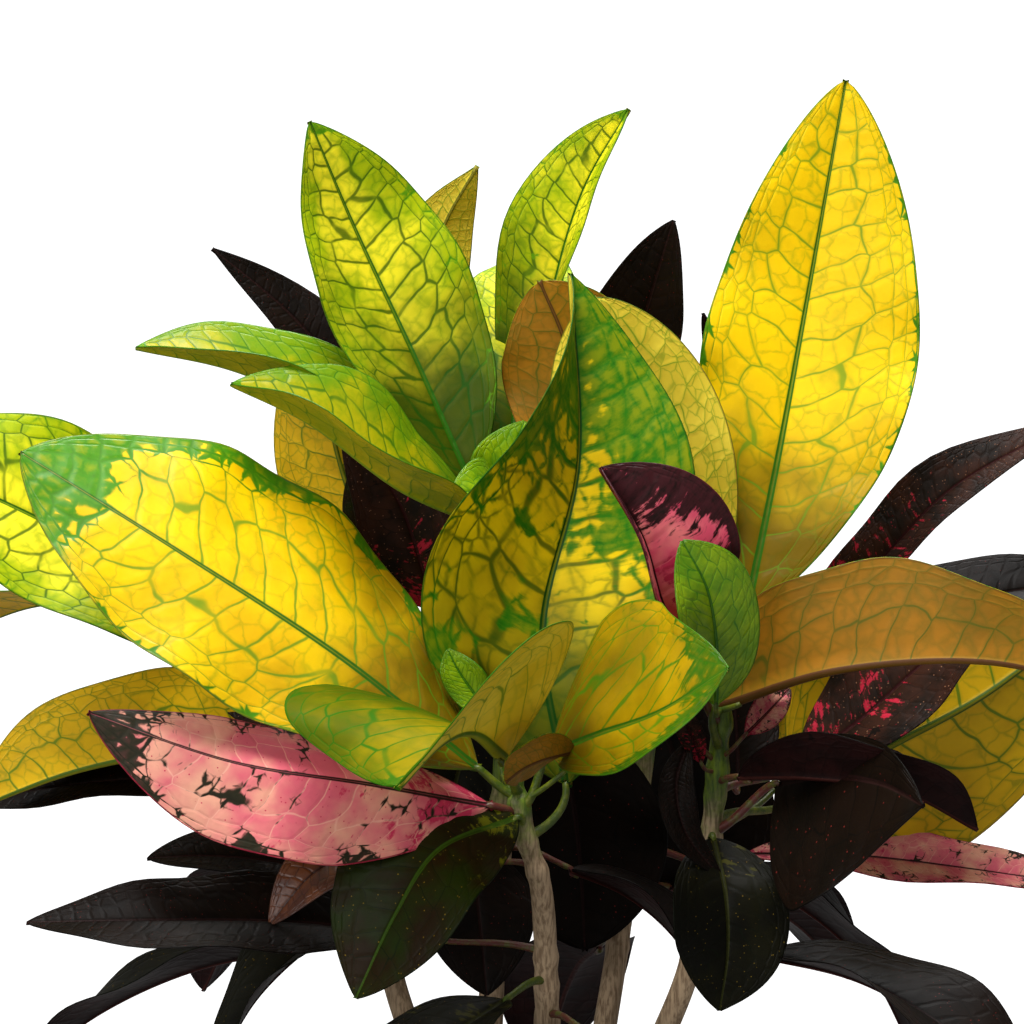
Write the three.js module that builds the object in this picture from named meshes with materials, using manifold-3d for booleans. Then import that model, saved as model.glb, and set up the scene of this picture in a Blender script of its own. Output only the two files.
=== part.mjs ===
// A potted croton with broad, marbled leaves: five leafy stems rooted in a filled plastic pot.
//
// Millimetres, +Z up. The origin is the middle of the pot's underside, +X is the plant's right
// and -Y its front. Each leafy stem is one solid: the stem, the leaf stalks and the blades are
// fused as they grow. The stems stand in plain holes in the soil, and the soil fills the pot.

import * as THREE from 'three';
import { mergeVertices } from 'three/addons/utils/BufferGeometryUtils.js';
import Module from 'manifold-3d';

const wasm = await Module();
wasm.setup();

// ---------------------------------------------------------------- driving dimensions

const CLEARANCE = 0.35;            // between the soil and what stands in it or round it

const POT_HEIGHT = 165;
const POT_FOOT_RADIUS = 66;
const POT_MOUTH_RADIUS = 89;       // outside of the wall, just under the rim
const POT_WALL = 2.6;
const POT_FLOOR = 3.2;
const POT_SIDES = 32;
const RIM_DEPTH = 17;              // how far the rim band reaches down
const RIM_OVERHANG = 5;
const DRAIN_HOLES = 6;
const DRAIN_RADIUS = 4.5;
const DRAIN_CIRCLE = 46;

const SOIL_TOP = 149;
const SOIL_RELIEF = 2.2;
const SOIL_RINGS = 5;

const STEM_FOOT = 92;              // the stems' lower ends, deep in the soil
const STEM_SIDES = 8;

const BLADE = 1.0;                 // thickness of a leaf
const FULLNESS = 1.7;              // how round the blade's outline is
const WAVE_LENGTH = 62;            // of the margin's waves, along the midrib
const STALK_RADIUS = 2.0;          // of a leaf stalk where it leaves the stem
const STALK_SIDES = 3;
const STALK_STEPS = 3;
const STALK_REACH = 30;            // from the stem's middle to the blade of an arched leaf
const NARROW_LEAF = 19;            // half width under which a leaf needs fewer facets

// Stems, from the soil to the growing tip: name, points (x, y, z), radius at the soil and the tip.
const STEMS = [
  ["front", [[15, -35, 150], [14, -43, 195], [13, -50, 232], [11, -57, 255], [6, -60, 272],
    [3, -62, 286], [2, -62, 296]], 5.2, 3.2],
  ["right", [[45, -15, 150], [58, -23, 182], [70, -31, 215], [76, -36, 250], [80, -39, 285],
    [82, -40, 312], [83, -42, 326]], 5.0, 3.6],
  ["centre", [[-10, 8, 150], [-8, 6, 205], [-5, 4, 260], [-2, 1, 320], [-1, -2, 370],
    [-3, -6, 398]], 5.4, 3.2],
  ["back_right", [[35, 40, 150], [43, 48, 205], [51, 55, 260], [58, 58, 310], [65, 60, 350],
    [70, 60, 386]], 5.0, 3.2],
  ["back_left", [[-35, 30, 150], [-48, 37, 195], [-60, 42, 240], [-70, 44, 280], [-77, 43, 310],
    [-80, 40, 330]], 5.0, 3.4],
];

// Leaves whose form was read one by one. Each row gives the name, the colour kind, the stem and
// the height where its stalk leaves it, four points of the midrib from blade base to tip, the
// half width, the direction the upper face looks, and what is particular to that leaf: fold
// (degrees at base and tip), lean (fold added on the second side, at base and tip), sides (width
// of each side), widest (share of the length where it is broadest), wave of the margin and turn
// (the way the face looks at the tip).
const READ_LEAVES = [
  ["gold_front_left", "gold_tip", "front", 290,
    [[-13, -66, 302], [-64, -84, 347], [-126, -90, 389], [-188, -84, 427]],
    49, [0.1, -0.8, 0.62], {"fold": [-14, -10], "wave": 3, "widest": 0.54, "sides": [0.84, 1.26]}],
  ["pink_front_left", "pink", "front", 283,
    [[-8, -70, 288], [-54, -92, 300], [-107, -100, 310], [-162, -95, 328]],
    35, [-0.1, -0.8, 0.5], {"fold": [-25, -20], "widest": 0.5, "sides": [0.95, 0.68]}],
  ["green_front_low", "deep", "front", 278,
    [[2, -68, 283], [-28, -88, 274], [-45, -98, 250], [-60, -100, 218]],
    31, [-0.3, -0.8, 0.5], {"fold": [12, 12]}],
  ["lime_front_curl", "lime_curl", "front", 292,
    [[-3, -84, 309], [-15, -117, 324], [-27, -152, 325], [-42, -176, 312]],
    60, [-0.3, -0.1, 0.95], {"fold": [33, 33], "lean": [14, -34], "sides": [1, 1.12]}],
  ["gold_front_curl", "gold_curl", "front", 286,
    [[15, -72, 309], [32, -97, 320], [55, -126, 333], [80, -146, 352]],
    50, [-0.75, -0.44, 0.39], {"fold": [8, 0], "widest": 0.5, "sides": [1, 0.38]}],
  ["ochre_front_small", "orange", "front", 288,
    [[24, -84, 312], [13, -95, 311], [4, -102, 308], [-3, -107, 303]],
    11, [0.2, 0.8, 0.5], {}],
  ["green_centre_tall", "flood", "front", 274,
    [[21, -58, 294], [12, -55, 355], [26, -45, 420], [23, -25, 492]],
    51, [-0.4, -0.9, 0.12], {"fold": [-12, 50], "lean": [14, -18], "turn": [0.75, -0.65, 0]}],
  ["green_front_small", "young", "front", 291,
    [[-8, -60, 322], [-15, -61, 331], [-21, -62, 340], [-25, -62, 348]],
    8, [-0.3, -0.8, 0.5], {}],
  ["rust_front_low", "rust", "front", 262,
    [[-20, -50, 262], [-48, -56, 268], [-75, -62, 262], [-95, -66, 240]],
    15, [-0.2, -0.7, 0.7], {}],
  ["dark_front_low", "dark", "front", 226,
    [[-30, -44, 230], [-80, -60, 240], [-135, -75, 244], [-189, -70, 242]],
    21, [0, -0.6, 0.8], {}],

  ["pink_right_upright", "pink_dark", "right", 316,
    [[69, -60, 346], [58, -76, 367], [50, -82, 394], [34, -82, 421]],
    34, [0.7, -0.7, 0.2], {"fold": [45, 45], "widest": 0.56, "sides": [0.5, 1]}],
  ["young_right", "young", "right", 322,
    [[79, -70, 327], [79, -80, 349], [75, -90, 374], [65, -94, 394]],
    18, [0.3, -0.9, 0.1], {"fold": [20, 20], "widest": 0.55}],
  ["orange_right_arch", "orange", "right", 306,
    [[81, -50, 324], [126, -75, 342], [181, -88, 347], [230, -90, 336]],
    40, [0, 0.7, 0.7], {"fold": [45, 45], "widest": 0.38}],
  ["gold_right_tall", "gold_net", "right", 320,
    [[93, -15, 355], [107, 5, 419], [119, 15, 483], [133, 10, 567]],
    46, [-0.15, -1, 0.1], {"fold": [8, 8], "wave": 2.5, "widest": 0.53, "sides": [0.82, 1.06]}],
  ["khaki_centre_right", "khaki", "right", 317,
    [[74, -22, 340], [62, -19, 382], [49, -15, 430], [32, -13, 482]],
    36, [0, 1, 0.1], {"widest": 0.6}],
  ["crimson_right", "crimson", "right", 288,
    [[115, -10, 295], [140, -12, 314], [168, -10, 339], [200, -10, 361]],
    24, [-0.3, -0.7, 0.6], {}],
  ["yellow_right_low", "ochre", "right", 276,
    [[115, 0, 279], [148, 15, 296], [192, 25, 318], [235, 30, 350]],
    58, [0.3, 0.9, 0.3], {"fold": [10, 10], "widest": 0.42}],
  ["pink_right_low", "pink", "right", 236,
    [[95, 10, 255], [140, 18, 253], [188, 20, 247], [233, 20, 240]],
    16, [0, -0.5, 0.85], {}],
  ["dark_right_tail", "dark", "right", 292,
    [[89, -55, 297], [116, -80, 301], [150, -95, 298], [179, -90, 282]],
    22, [0, 0.3, 0.95], {"fold": [40, 40]}],
  ["dark_right_broad", "dark", "right", 272,
    [[104, -52, 294], [122, -80, 301], [140, -110, 303], [154, -136, 299]],
    48, [-0.76, -0.46, 0.37], {"fold": [6, 6], "widest": 0.42, "sides": [0.35, 1.15]}],
  ["olive_right_hanging", "olive", "right", 264,
    [[79, -50, 272], [83, -70, 254], [84, -72, 231], [81, -70, 207]],
    24, [0.2, -0.9, 0.3], {}],
  ["dark_right_twisted", "dark", "right", 300,
    [[69, -52, 310], [64, -62, 295], [68, -66, 276], [82, -64, 258]],
    7, [-0.3, -0.9, 0], {"turn": [0.6, -0.7, 0]}],
  ["red_right_small", "crimson", "right", 296,
    [[74, -52, 302], [71, -56, 311], [68, -59, 319], [67, -60, 327]],
    5, [-0.2, -1, 0], {}],
  ["pink_right_small", "pink", "right", 302,
    [[92, -48, 313], [98, -43, 318], [104, -36, 323], [110, -30, 328]],
    6, [-0.2, -1, 0.2], {}],
  ["dark_right_shade", "dark", "right", 298,
    [[90, -19, 287], [90, -13, 302], [89, -7, 319], [87, 0, 337]],
    17, [0, -1, 0.1], {}],
  ["yellow_right_small", "ochre", "right", 270,
    [[112, 10, 290], [122, 12, 307], [130, 12, 325], [136, 10, 342]],
    20, [0.2, 1, 0], {}],

  ["lime_left_upper", "lime", "centre", 380,
    [[-23, -5, 404], [-64, -15, 433], [-107, -25, 454], [-148, -25, 463]],
    28, [0.2, -0.25, 0.95], {"fold": [35, 35]}],
  ["lime_left_lower", "lime", "centre", 372,
    [[-13, -25, 394], [-44, -45, 410], [-78, -55, 436], [-109, -55, 451]],
    30, [0.2, -0.35, 0.93], {"fold": [40, 40]}],
  ["gold_left_tall", "limegold", "centre", 386,
    [[-16, -5, 406], [-38, 5, 455], [-62, 5, 507], [-80, -5, 551]],
    34, [0.4, -0.9, 0.15], {"fold": [25, 20]}],
  ["dark_left_upper", "dark", "centre", 384,
    [[-35, 15, 410], [-62, 25, 441], [-90, 30, 473], [-121, 30, 499]],
    14, [-0.1, -0.9, 0.4], {"fold": [12, 12], "widest": 0.4, "sides": [0.8, 1.1]}],
  ["khaki_left_back", "khaki", "centre", 388,
    [[-38, 45, 428], [-38, 50, 465], [-29, 48, 504], [-14, 40, 532]],
    17, [0, 1, 0.1], {"fold": [12, 12], "widest": 0.4}],
  ["lime_centre_back", "limegold", "centre", 392,
    [[7, 35, 422], [15, 42, 473], [28, 40, 520], [47, 32, 555]],
    25, [-0.7, -0.7, 0], {"fold": [40, 40]}],
  ["orange_centre", "orange", "centre", 376,
    [[15, 10, 391], [25, 5, 427], [22, 0, 460], [11, -5, 488]],
    28, [0, 1, 0.1], {"fold": [12, 12], "widest": 0.56}],
  ["dark_inner_middle", "dark", "centre", 300,
    [[16, 24, 307], [24, 34, 278], [28, 38, 246], [30, 38, 210]],
    37, [-0.1, -0.9, 0.4], {"fold": [8, 8], "widest": 0.55}],
  ["olive_inner_left", "olive", "centre", 316,
    [[-14, 20, 323], [-20, 27, 294], [-29, 29, 254], [-34, 28, 212]],
    27, [-0.1, -0.9, 0.4], {"fold": [8, 8]}],
  ["dark_inner_front", "dark", "centre", 262,
    [[-14, -16, 264], [-14, -20, 246], [-12, -24, 226], [-10, -26, 204]],
    22, [0, -1, 0.2], {"fold": [6, 6]}],
  ["ochre_left_back", "ochre", "centre", 340,
    [[-52, 40, 359], [-64, 45, 391], [-74, 45, 428], [-76, 40, 480]],
    27, [0, 1, 0.1], {}],
  ["green_left_inner", "deep", "centre", 336,
    [[-43, 20, 353], [-51, 20, 373], [-59, 20, 394], [-65, 20, 410]],
    11, [-0.3, -1, 0], {}],
  ["crimson_left_inner", "crimson", "centre", 345,
    [[-32, 0, 356], [-37, 5, 375], [-47, 10, 401], [-68, 12, 427]],
    20, [-0.2, -1, 0], {}],
  ["young_centre_left", "young", "centre", 394,
    [[2, -22, 397], [-4, -32, 402], [-12, -40, 407], [-24, -45, 408]],
    16, [-0.1, -0.6, 0.8], {"fold": [25, 25]}],
  ["young_centre_up", "young", "centre", 395,
    [[-4, -15, 397], [-4, -16, 409], [0, -16, 421], [5, -15, 433]],
    13, [-0.4, -0.9, 0], {"fold": [25, 25]}],
  ["dark_centre_twisted", "dark", "centre", 393,
    [[17, -24, 420], [6, -36, 408], [-12, -42, 399], [-34, -44, 384]],
    7, [-0.2, -0.7, 0.7], {"turn": [0.2, -0.3, 0.9]}],

  ["speckled_right_back", "crimson", "back_right", 330,
    [[113, 30, 336], [150, 35, 372], [182, 45, 402], [231, 50, 428]],
    17, [-0.3, -0.7, 0.6], {"sides": [1, 0.7]}],
  ["dark_right_back", "dark", "back_right", 318,
    [[119, 70, 325], [161, 75, 340], [203, 79, 353], [245, 80, 357]],
    22, [0, -0.6, 0.8], {}],
  ["black_back_upright", "dark", "back_right", 378,
    [[40, 66, 406], [46, 68, 440], [56, 64, 475], [66, 58, 509]],
    22, [-0.4, -0.9, 0], {"fold": [20, 20]}],
  ["dark_inner_right", "dark", "back_right", 304,
    [[62, 72, 300], [71, 82, 274], [77, 86, 244], [80, 86, 208]],
    36, [0.1, -0.9, 0.4], {"fold": [8, 8]}],
  ["dark_back_slim", "dark", "back_right", 382,
    [[74, 72, 398], [82, 76, 425], [84, 76, 448], [79, 74, 470]],
    5, [0, -1, 0.1], {}],

  ["gold_far_left", "limegold", "back_left", 326,
    [[-90, 20, 341], [-149, 5, 371], [-206, -10, 402], [-263, -15, 425]],
    42, [0.1, -0.75, 0.6], {"fold": [14, 14], "wave": 3}],
  ["ochre_left_arch", "ochre", "back_left", 304,
    [[-85, 2, 304], [-129, -8, 301], [-174, -14, 293], [-217, -15, 277]],
    34, [0, 0.7, 0.7], {"fold": [45, 45]}],
  ["dark_left_arch", "dark", "back_left", 282,
    [[-106, 14, 285], [-148, 10, 286], [-188, 10, 282], [-226, 10, 274]],
    16, [0, -0.5, 0.85], {}],
  ["crimson_left_low", "crimson", "back_left", 300,
    [[-66, 8, 305], [-88, 5, 316], [-108, 5, 325], [-127, 5, 332]],
    18, [-0.2, -0.8, 0.6], {}],
  ["dark_left_low", "dark", "back_left", 240,
    [[-72, -12, 250], [-95, -24, 258], [-121, -34, 262], [-144, -40, 262]],
    14, [0, -0.6, 0.8], {}],
];

// Leaves that follow the plant's habit. Each springs from its stem in an even arch: name, colour
// kind, stem, height on it, compass direction (degrees from +X towards +Y), rise at the base,
// drop over its length (degrees), blade length and half width.
const ARCHED_LEAVES = [
  ["gold_back_right", "gold", "back_right", 384, 52, 46, 62, 160, 30],
  ["lime_back_up", "limegold", "back_right", 376, 116, 54, 74, 175, 28],
  ["orange_back", "gold", "back_right", 352, 82, 36, 74, 190, 40],
  ["pink_back", "pink", "back_right", 322, 118, 22, 60, 175, 33],
  ["dark_back_right", "dark", "back_right", 300, 40, 14, 50, 165, 32],
  ["crimson_back_low", "dark", "back_right", 264, 78, 32, 66, 165, 32],
  ["dark_back_low", "dark", "back_right", 232, 52, -4, 40, 150, 30],
  ["dark_back_right_inner", "dark", "back_right", 248, 8, -12, 60, 130, 32],
  ["dark_back_right_foot", "dark", "back_right", 212, 104, -14, 50, 120, 30],

  ["gold_back_left", "gold", "back_left", 326, 72, 60, 56, 170, 30],
  ["lime_back_left", "lime", "back_left", 318, 116, 36, 60, 190, 37],
  ["gold_left_back", "gold", "back_left", 308, 148, 30, 60, 185, 38],
  ["pink_back_left", "pink", "back_left", 280, 128, 14, 42, 160, 32],
  ["dark_left_back", "dark", "back_left", 246, 118, -8, 46, 155, 30],
  ["olive_left_low", "olive", "back_left", 214, 168, -6, 40, 150, 28],

  ["gold_centre_back", "gold", "centre", 384, 116, 50, 50, 140, 25],
  ["lime_centre_rear", "limegold", "centre", 382, 84, 66, 54, 140, 25],
  ["crimson_centre_back", "crimson", "centre", 330, 94, 30, 60, 170, 32],
  ["dark_centre_back", "dark", "centre", 280, 96, 6, 80, 120, 30],
  ["olive_centre_left", "olive", "centre", 246, 196, -8, 60, 120, 30],
  ["dark_centre_right", "dark", "centre", 258, 352, -14, 50, 72, 22],

  ["dark_right_hanging", "dark", "right", 225, 325, 2, 50, 150, 29],
  ["olive_front_low", "olive", "front", 214, 238, -4, 44, 140, 27],
  ["dark_front_right_low", "dark", "front", 200, 296, 0, 50, 130, 26],
];

// Colour of each leafy stem, taken from most of its leaves.
const FOLIAGE_COLOURS = {
  front: 0xd9c21c, right: 0xc9a51e, centre: 0xa9bd22, back_right: 0x5a2a24, back_left: 0xd2b11e,
};

// ---------------------------------------------------------------- solids by code

/** A closed solid from faces given as triples of points. */
function solid(positions, triangles) {
  const mesh = new wasm.Mesh({
    numProp: 3,
    vertProperties: new Float32Array(positions.flatMap((p) => [p.x, p.y, p.z])),
    triVerts: new Uint32Array(triangles.flat()),
  });
  return new wasm.Manifold(mesh);
}

/** A closed solid from a three.js geometry. */
function solidOf(geometry) {
  const bare = geometry.clone();
  bare.deleteAttribute('normal');
  bare.deleteAttribute('uv');
  const merged = mergeVertices(bare, 1e-4);
  return new wasm.Manifold(new wasm.Mesh({
    numProp: 3,
    vertProperties: new Float32Array(merged.attributes.position.array),
    triVerts: new Uint32Array(merged.index.array),
  }));
}

/** A three.js geometry from a solid. */
function geometryOf(body) {
  const mesh = body.getMesh();
  const geometry = new THREE.BufferGeometry();
  geometry.setAttribute('position', new THREE.BufferAttribute(mesh.vertProperties, 3));
  geometry.setIndex(new THREE.BufferAttribute(mesh.triVerts, 1));
  geometry.computeVertexNormals();
  return geometry;
}

/** Tapered tube with flat ends through a list of points. */
function tube(points, radiusAt, sides) {
  const positions = [];
  const triangles = [];
  const steps = points.length - 1;
  let side = null;
  points.forEach((point, i) => {
    const before = points[Math.max(i - 1, 0)];
    const after = points[Math.min(i + 1, steps)];
    const along = after.clone().sub(before).normalize();
    side ??= along.z > 0.9 ? new THREE.Vector3(1, 0, 0) : new THREE.Vector3(0, 0, 1);
    side = side.clone().addScaledVector(along, -along.dot(side)).normalize();
    const other = new THREE.Vector3().crossVectors(along, side);
    for (let k = 0; k < sides; k += 1) {
      const angle = (2 * Math.PI * k) / sides;
      positions.push(point.clone()
        .addScaledVector(side, radiusAt(i / steps) * Math.cos(angle))
        .addScaledVector(other, radiusAt(i / steps) * Math.sin(angle)));
    }
  });
  for (let i = 0; i < steps; i += 1) {
    for (let k = 0; k < sides; k += 1) {
      const a = i * sides + k;
      const b = i * sides + ((k + 1) % sides);
      triangles.push([a, b, b + sides], [a, b + sides, a + sides]);
    }
  }
  for (let k = 1; k < sides - 1; k += 1) {
    const last = steps * sides;
    triangles.push([0, k + 1, k], [last, last + k, last + k + 1]);
  }
  return solid(positions, triangles);
}

// ---------------------------------------------------------------- leaves

const vector = (p) => new THREE.Vector3(p[0], p[1], p[2]);
const radians = THREE.MathUtils.degToRad;
const { lerp } = THREE.MathUtils;

/** Point on a stem at a height, between the points that give its path. */
function stemPoint(stem, height) {
  const path = stem[1];
  const i = Math.min(path.findIndex((p, n) => n === path.length - 1 || path[n + 1][2] >= height),
    path.length - 2);
  const share = (height - path[i][2]) / (path[i + 1][2] - path[i][2]);
  return vector(path[i]).lerp(vector(path[i + 1]), share);
}

/** Half width along the blade, from 0 at the base to 1 at its widest and 0 at the tip. */
function outline(s, widest) {
  return (s / widest) ** (FULLNESS * widest)
    * ((1 - s) / (1 - widest)) ** (FULLNESS * (1 - widest));
}

/** Everything that shapes one blade, from its row in the list. */
function leafShape(row, number) {
  const [name, kind, stem, height, rib, half, face, extra] = row;
  return {
    name, kind, stem, height, half, number,
    rib: new THREE.CatmullRomCurve3(rib.map(vector), false, 'catmullrom', 0.5),
    faces: [vector(face).normalize(), vector(extra.turn ?? face).normalize()],
    fold: extra.fold ?? [14, 14],
    lean: extra.lean ?? [0, 0],
    sides: extra.sides ?? [1, 1],
    wave: extra.wave ?? 2,
    widest: extra.widest ?? 0.48,
    arched: 'arched' in extra,
  };
}

/** The row of an arched leaf, with its midrib and face worked out from its habit. */
function archedRow(row) {
  const [name, kind, stemName, height, compass, rise, drop, length, half] = row;
  const stem = STEMS.find((s) => s[0] === stemName);
  const out = new THREE.Vector3(Math.cos(radians(compass)), Math.sin(radians(compass)), 0);
  const start = stemPoint(stem, height);
  const stalk = STALK_REACH * Math.cos(radians(rise));
  start.addScaledVector(out, stalk);
  start.z += STALK_REACH * Math.sin(radians(rise));
  const r = radians(rise);
  const d = radians(drop);
  const rib = [0, 1 / 3, 2 / 3, 1].map((s) => {
    const away = (length * (Math.sin(r) - Math.sin(r - d * s))) / d;
    const up = (length * (Math.cos(r - d * s) - Math.cos(r))) / d;
    return [start.x + out.x * away, start.y + out.y * away, start.z + up];
  });
  const face = [-out.x * Math.sin(r), -out.y * Math.sin(r), Math.cos(r)];
  const turn = [-out.x * Math.sin(r - d), -out.y * Math.sin(r - d), Math.cos(r - d)];
  return [name, kind, stemName, height, rib, half, face,
    {"fold": [22, 14], "wave": 3, "turn": turn, "arched": true}];
}

/** Point of a blade: s runs from base to tip, u from one margin (-1) to the other (+1). */
function bladePoint(leaf, s, u, depth) {
  const centre = leaf.rib.getPoint(s);
  const along = leaf.rib.getTangent(s);
  const up = leaf.faces[0].clone().lerp(leaf.faces[1], s);
  up.addScaledVector(along, -up.dot(along)).normalize();
  const side = new THREE.Vector3().crossVectors(along, up).multiplyScalar(Math.sign(u));
  const half = leaf.half * outline(s, leaf.widest) * leaf.sides[u > 0 ? 1 : 0];
  const lean = u > 0 ? lerp(leaf.lean[0], leaf.lean[1], s) : 0;
  const fold = radians(lerp(leaf.fold[0], leaf.fold[1], s) + lean);
  const a = Math.abs(u);
  const waves = Math.round(leaf.rib.getLength() / WAVE_LENGTH);
  const phase = 2 * Math.PI * (waves * s + leaf.number * 0.618 + (u > 0 ? 0.37 : 0));
  const wave = leaf.wave * a * a * Math.sin(phase) * Math.sin(Math.PI * s);
  const tilt = u === 0 ? 0 : fold;
  return centre
    .addScaledVector(side, a * half * Math.cos(fold) + depth * Math.sin(tilt))
    .addScaledVector(up, a * half * Math.sin(fold) + wave - depth * Math.cos(tilt));
}

/** Blade of one leaf: two faces split into triangles alike, with a thin rim between them. */
function blade(leaf) {
  const narrow = leaf.half < NARROW_LEAF;
  const rows = narrow ? 4 : 5;
  const columns = narrow || leaf.arched ? 3 : 5;
  const positions = [];
  const triangles = [];
  const perFace = rows * columns + 2;
  for (const depth of [0, BLADE]) {
    positions.push(bladePoint(leaf, 0, 0, depth), bladePoint(leaf, 1, 0, depth));
    for (let i = 1; i <= rows; i += 1) {
      const s = (1 - Math.cos((Math.PI * i) / (rows + 1))) / 2;
      for (let j = 0; j < columns; j += 1) {
        positions.push(bladePoint(leaf, s, (2 * j) / (columns - 1) - 1, depth));
      }
    }
  }
  const at = (i, j) => {
    if (i < 0) return 0;
    return i === rows ? 1 : 2 + i * columns + j;
  };
  const face = (a, b, c) => triangles.push([a, b, c], [a + perFace, c + perFace, b + perFace]);
  for (let j = 0; j < columns - 1; j += 1) {
    face(at(-1, 0), at(0, j + 1), at(0, j));
    face(at(rows, 0), at(rows - 1, j), at(rows - 1, j + 1));
    for (let i = 0; i < rows - 1; i += 1) {
      if (j < (columns - 1) / 2) {
        face(at(i, j), at(i, j + 1), at(i + 1, j));
        face(at(i, j + 1), at(i + 1, j + 1), at(i + 1, j));
      } else {
        face(at(i, j), at(i, j + 1), at(i + 1, j + 1));
        face(at(i, j), at(i + 1, j + 1), at(i + 1, j));
      }
    }
  }
  for (let i = -1; i < rows; i += 1) {
    for (const [j, swap] of [[0, true], [columns - 1, false]]) {
      const a = at(i, j);
      const b = at(i + 1, j);
      const rim = [[a, a + perFace, b], [b, a + perFace, b + perFace]];
      rim.forEach((t) => triangles.push(swap ? [t[0], t[2], t[1]] : t));
    }
  }
  return solid(positions, triangles);
}

/** Leaf stalk: it leaves the stem outwards, bends into the blade and runs on under its midrib. */
function stalk(leaf, stem) {
  const foot = stemPoint(stem, leaf.height);
  const base = leaf.rib.getPoint(0);
  const along = leaf.rib.getTangent(0);
  const reach = foot.distanceTo(base);
  const out = base.clone().sub(foot).setZ(0).normalize();
  const curve = new THREE.CubicBezierCurve3(
    foot,
    foot.clone().addScaledVector(out, reach * 0.35).add(new THREE.Vector3(0, 0, reach * 0.12)),
    base.clone().addScaledVector(along, -reach * 0.35),
    base,
  );
  const points = curve.getPoints(STALK_STEPS);
  points.push(bladePoint(leaf, 0.1, 0, BLADE * 0.5));
  const size = Math.min(1, 0.45 + leaf.half / 60);
  return tube(points, (share) => STALK_RADIUS * size * (1 - 0.35 * share), STALK_SIDES);
}

const LEAVES = [...READ_LEAVES, ...ARCHED_LEAVES.map(archedRow)].map(leafShape);

// ---------------------------------------------------------------- leafy stems

function stemTube(stem) {
  const [, path, foot, tip] = stem;
  const points = [vector([path[0][0], path[0][1], STEM_FOOT]), ...path.map(vector)];
  return tube(points, (share) => lerp(foot, tip, Math.max(0, share - 0.2) / 0.8),
    STEM_SIDES);
}

/** A stem with all its leaves, fused. Any crumb or sealed pocket between blades is dropped. */
function leafyStem(stem) {
  const pieces = [stemTube(stem)];
  for (const leaf of LEAVES.filter((l) => l.stem === stem[0])) {
    pieces.push(blade(leaf), stalk(leaf, stem));
  }
  const bodies = wasm.Manifold.union(pieces).decompose();
  bodies.sort((a, b) => b.volume() - a.volume());
  return bodies[0];
}

// ---------------------------------------------------------------- pot and soil

/** Radius inside the pot's wall at a height above its floor. */
function innerRadius(z) {
  const share = (z - POT_FLOOR) / (POT_HEIGHT - POT_FLOOR);
  return lerp(POT_FOOT_RADIUS, POT_MOUTH_RADIUS, share) - POT_WALL;
}

function pot() {
  const band = POT_HEIGHT - RIM_DEPTH;
  const wallAt = (z) => lerp(POT_FOOT_RADIUS, POT_MOUTH_RADIUS, z / POT_HEIGHT);
  const profile = [
    [0, 0], [POT_FOOT_RADIUS - 2, 0], [wallAt(2), 2], [wallAt(band), band],
    [wallAt(band) + RIM_OVERHANG - 1, band + 1.5], [wallAt(POT_HEIGHT) + RIM_OVERHANG, POT_HEIGHT - 3],
    [wallAt(POT_HEIGHT) + RIM_OVERHANG - 2, POT_HEIGHT], [wallAt(POT_HEIGHT) - 1, POT_HEIGHT],
    [innerRadius(POT_HEIGHT - 3), POT_HEIGHT - 3], [innerRadius(POT_FLOOR), POT_FLOOR], [0, POT_FLOOR],
  ].map(([r, z]) => new THREE.Vector2(r, z));
  const shell = new THREE.LatheGeometry(profile, POT_SIDES).rotateX(Math.PI / 2);
  let body = solidOf(shell);
  for (let i = 0; i < DRAIN_HOLES; i += 1) {
    const angle = (2 * Math.PI * i) / DRAIN_HOLES;
    const drill = new THREE.CylinderGeometry(DRAIN_RADIUS, DRAIN_RADIUS, 4 * POT_FLOOR, 12)
      .rotateX(Math.PI / 2)
      .translate(DRAIN_CIRCLE * Math.cos(angle), DRAIN_CIRCLE * Math.sin(angle), 0);
    body = body.subtract(solidOf(drill));
  }
  return body;
}

/** Height of the soil's crumbly surface. */
function soilHeight(x, y) {
  const r = Math.hypot(x, y);
  const lumps = Math.sin(x * 0.21 + y * 0.09) + Math.sin(y * 0.24 - x * 0.13 + 1.7)
    + 0.8 * Math.sin(x * 0.43 + 0.6) * Math.sin(y * 0.39 + 2.1);
  return SOIL_TOP - 4 * (r / innerRadius(SOIL_TOP)) ** 4 + (SOIL_RELIEF * lumps) / 2.8;
}

function soil() {
  const floor = POT_FLOOR + CLEARANCE;
  const shoulder = SOIL_TOP - 8;
  const profile = [
    [0, floor], [innerRadius(floor) - CLEARANCE, floor], [innerRadius(shoulder) - CLEARANCE, shoulder],
  ];
  for (let i = SOIL_RINGS; i >= 0; i -= 1) {
    profile.push([((innerRadius(shoulder) - 2) * i) / SOIL_RINGS, SOIL_TOP]);
  }
  const geometry = new THREE.LatheGeometry(profile.map(([r, z]) => new THREE.Vector2(r, z)), POT_SIDES)
    .rotateX(Math.PI / 2);
  const position = geometry.attributes.position;
  for (let i = 0; i < position.count; i += 1) {
    if (position.getZ(i) > SOIL_TOP - 1) {
      position.setZ(i, soilHeight(position.getX(i), position.getY(i)));
    }
  }
  let body = solidOf(geometry);
  for (const [, path, radius] of STEMS) {
    const deep = STEM_FOOT - CLEARANCE;
    const hole = new THREE.CylinderGeometry(radius + 2 * CLEARANCE, radius + 2 * CLEARANCE, 80, 12)
      .rotateX(Math.PI / 2)
      .translate(path[0][0], path[0][1], deep + 40);
    body = body.subtract(solidOf(hole));
  }
  return body;
}

// ---------------------------------------------------------------- the plant

const plant = new THREE.Group();

function addMesh(name, body, colour, roughness) {
  const material = new THREE.MeshStandardMaterial({ color: colour, roughness, metalness: 0 });
  const mesh = new THREE.Mesh(geometryOf(body), material);
  mesh.name = name;
  plant.add(mesh);
}

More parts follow.
